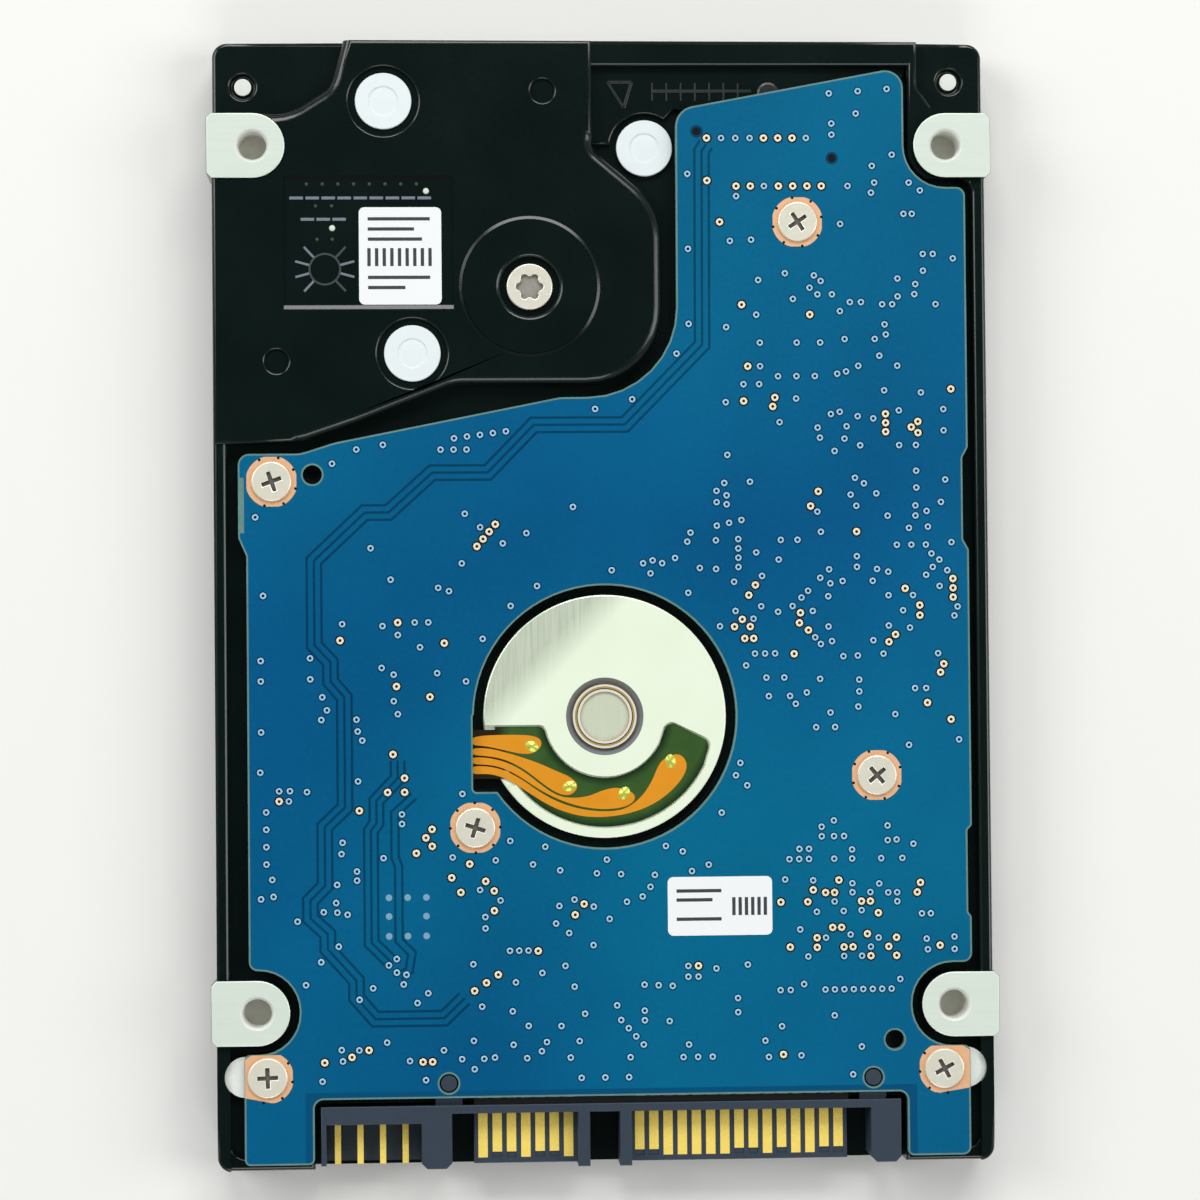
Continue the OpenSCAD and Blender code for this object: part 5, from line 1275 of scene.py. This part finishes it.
def buildSeals():
    shape = bmesh.new()
    for x, y, top in seals["places"]:
        gather(shape, turned([(reach, top - depth) for reach, depth in seals["profile"]], (x, y), 48))
    addPiece("sealFilms", shape, [slotFinish["seal_white"]], "hole_seals")


buildSeals()
print("seals done")

# marks left by the die in the deck's recess and on the rear shelf, and the recess's sloped edges
marks = {
    "floor": 6.65,
    "deck": 6.8,
    "shelf": 5.55,
    "proud": 0.07,
    "line": 0.26,
    "rayLine": 0.208,
    "tickLine": 0.13,
    "tickProud": 0.05,
    "dial": (-24.51, 29.64),
    "dialRing": (1.26, 1.46),
    "dialLean": 0.02,
    "rays": (1.4, 2.7),
    "rayTurns": [way * side for way in (15, 47, 133, 165) for side in (1, -1)],
    # rays listed here get the dim, less lit copy of the mark paint (painted shade)
    "lessLitRays": (47, -47),
    # rulers: x, y, count, pitch, length of a dash
    "rulers": [(-27.6, 35.96, 9, 1.416, 1.2), (-26.62, 34.07, 3, 1.4, 1.2)],
    "dotRows": [(-26.09, 37.2, 1.39, 0, 8), (-25.3, 35.26, 1.42, 0, 2), (-25.18, 32.29, 1.34, 0, 2)],
    "dotSize": (0.12, 0.16),
    "lightDots": [(-15.52, 36.58), (-23.84, 33.29)],
    "lightSize": (0.2, 0.28),
    "dotCrown": 0.02,
    "arrow": [(0.75, 46.45), (2.9, 46.45), (2.2, 44.15), (0.75, 46.45)],
    "shelfRuler": (4.85, 45.66, 7, 1.28, 1.08),
    "ticks": (4.75, 44.8, 46.4),
    "boss": (15.15, 45.48),
    "bossSize": (0.8, 1.0),
    "recess": (-28.14, 25.985, -13.14, 38.035),
    "slope": 0.55,
    "slopeSunk": 0.005,
    # inner, top and foot reach of the low ring round the pivot
    "pivotRing": (5.95, 6.0, 6.28),
    "ringRise": 0.08,
}


def drawRuler(shape, row, low, high):
    x, y, count, pitch, length = row
    for start, level in alongRow(x, y, pitch, 0, count):
        gather(shape, bar((start, level), (start + length, level), marks["line"], low, high))


def buildCastMarks():
    low = marks["floor"] - sunk
    high = marks["floor"] + marks["proud"]
    crown = marks["dotCrown"]
    shape = bmesh.new()
    for row in marks["rulers"]:
        drawRuler(shape, row, low, high)
    x, y = marks["dial"]
    for turn in marks["rayTurns"]:
        way = Vector((math.cos(math.radians(turn)), math.sin(math.radians(turn))))
        start, end = (Vector((x, y)) + way * reach for reach in marks["rays"])
        gather(shape, bar(start, end, marks["rayLine"], low, high), int(turn in marks["lessLitRays"]))
    gather(shape, ring((x, y), *marks["dialRing"], low, high, 40, marks["dialLean"]), 1)
    for row in marks["dotRows"]:
        for spot in alongRow(*row):
            gather(shape, peg(spot, *marks["dotSize"], low, high - crown, 12, crown), 1)
    addPiece("castMarks", shape, [markHighlightPaint, markDimHighlightPaint])


def buildShelfMarks():
    low = marks["shelf"] - sunk
    high = marks["shelf"] + marks["proud"]
    shape = bmesh.new()
    for start, end in zip(marks["arrow"], marks["arrow"][1:]):
        gather(shape, bar(start, end, marks["line"], low, high))
    drawRuler(shape, marks["shelfRuler"], low, high)
    count, pitch = marks["shelfRuler"][2:4]
    tickX, tickLow, tickHigh = marks["ticks"]
    tickTop = marks["shelf"] + marks["tickProud"]
    for start, level in alongRow(tickX, tickLow, pitch, 0, count):
        gather(shape, bar((start, level), (start, tickHigh), marks["tickLine"], low, tickTop))
    gather(shape, peg(marks["boss"], *marks["bossSize"], low, high, 32))
    addPiece("shelfMarks", shape, [shelfHighlightPaint])


def buildBareDots():
    low = marks["floor"] - sunk
    high = marks["floor"] + marks["proud"]
    shape = bmesh.new()
    for spot in marks["lightDots"]:
        gather(shape, peg(spot, *marks["lightSize"], low, high, 16, marks["dotCrown"]))
    addPiece("bareDots", shape, [padMetal])


def buildDeckSlopes():
    left, foot, right, rear = marks["recess"]
    sunkBy = marks["slopeSunk"]
    deck = marks["deck"]
    shape = bmesh.new()
    # the rear slope takes the near black painted shade, the front one the casting paint
    for number, (start, end) in enumerate((((left, foot), (right, foot)), ((right, rear), (left, rear)))):
        gather(shape, slope(start, end, marks["slope"], marks["floor"] - sunkBy, deck), number)
    inner, crest, skirt = marks["pivotRing"]
    low = deck - sunkBy
    high = deck + marks["ringRise"]
    profile = [(inner, high), (crest, high), (skirt, low), (inner, low), (inner, high)]
    gather(shape, turned(profile, pivotXY, 96), 0)
    addPiece("deckSlopes", shape, [castPaint, slopeShadePaint])


buildCastMarks()
buildShelfMarks()
buildBareDots()
buildDeckSlopes()
print("marks done")

# floor, light and camera, in metres
room = {
    "floorHalf": 1.5,
    "floorGap": 0.00003,
    "air": (0.93, 0.97, 1.0, 1),
    "overhead": 0.03,
    "sides": 0.45,
    # place, size, power
    "lamps": {
        "rearPanel": ((0.05, 0.56, 0.55), (0.6, 0.3), 3.8),
        "leftPanel": ((-0.55, 0.28, 0.5), (0.4, 0.4), 2.3),
        "rightPanel": ((0.6, 0.0, 0.55), (0.32, 0.5), 2.0),
        "frontPanel": ((0.0, -0.6, 0.5), (0.5, 0.3), 1.6),
    },
    # camera, in degrees and millimetres of lens
    "eye": (-0.016413, -0.006218, 0.306179),
    "turn": (1.246, -3.056, -0.494),
    "lens": 101.43,
}


def buildFloor():
    shape = bmesh.new()
    bmesh.ops.create_grid(shape, x_segments=1, y_segments=1, size=room["floorHalf"])
    bmesh.ops.translate(shape, verts=shape.verts, vec=(0, 0, -room["floorGap"]))
    mesh = bpy.data.meshes.new("floor")
    shape.to_mesh(mesh)
    shape.free()
    mesh.materials.append(plainFinish("floorPaper", tint(236, 236, 232), 0.8, 0.0, 0.01, 900, 0.01, 0.2))
    newObject("floor", mesh)


def buildLight():
    world = bpy.data.worlds.new("room")
    bpy.context.scene.world = world
    world.use_nodes = True
    back = world.node_tree.nodes["Background"]
    back.inputs[0].default_value = room["air"]
    height = Wire(world.node_tree).node("ShaderNodeTexCoord", out="Generated").axis("Z")
    level = room["sides"] - (room["sides"] - room["overhead"]) * height.calc("ABSOLUTE", height)
    world.node_tree.links.new(level.socket, back.inputs[1])
    for name, (place, size, power) in room["lamps"].items():
        light = bpy.data.lights.new(name, "AREA")
        light.shape = "RECTANGLE"
        light.size, light.size_y = size
        light.energy = power
        lamp = newObject(name, light)
        lamp.location = place
        lamp.rotation_euler = (-Vector(place)).to_track_quat("-Z", "Y").to_euler()


def buildCamera():
    data = bpy.data.cameras.new("camera")
    data.lens = room["lens"]
    data.sensor_width = 36
    data.clip_start = 0.01
    camera = newObject("camera", data)
    camera.location = room["eye"]
    camera.rotation_euler = [math.radians(part) for part in room["turn"]]
    bpy.context.scene.camera = camera


buildFloor()
buildLight()
buildCamera()
bpy.context.scene.view_settings.view_transform = "Standard"
print("stage done")
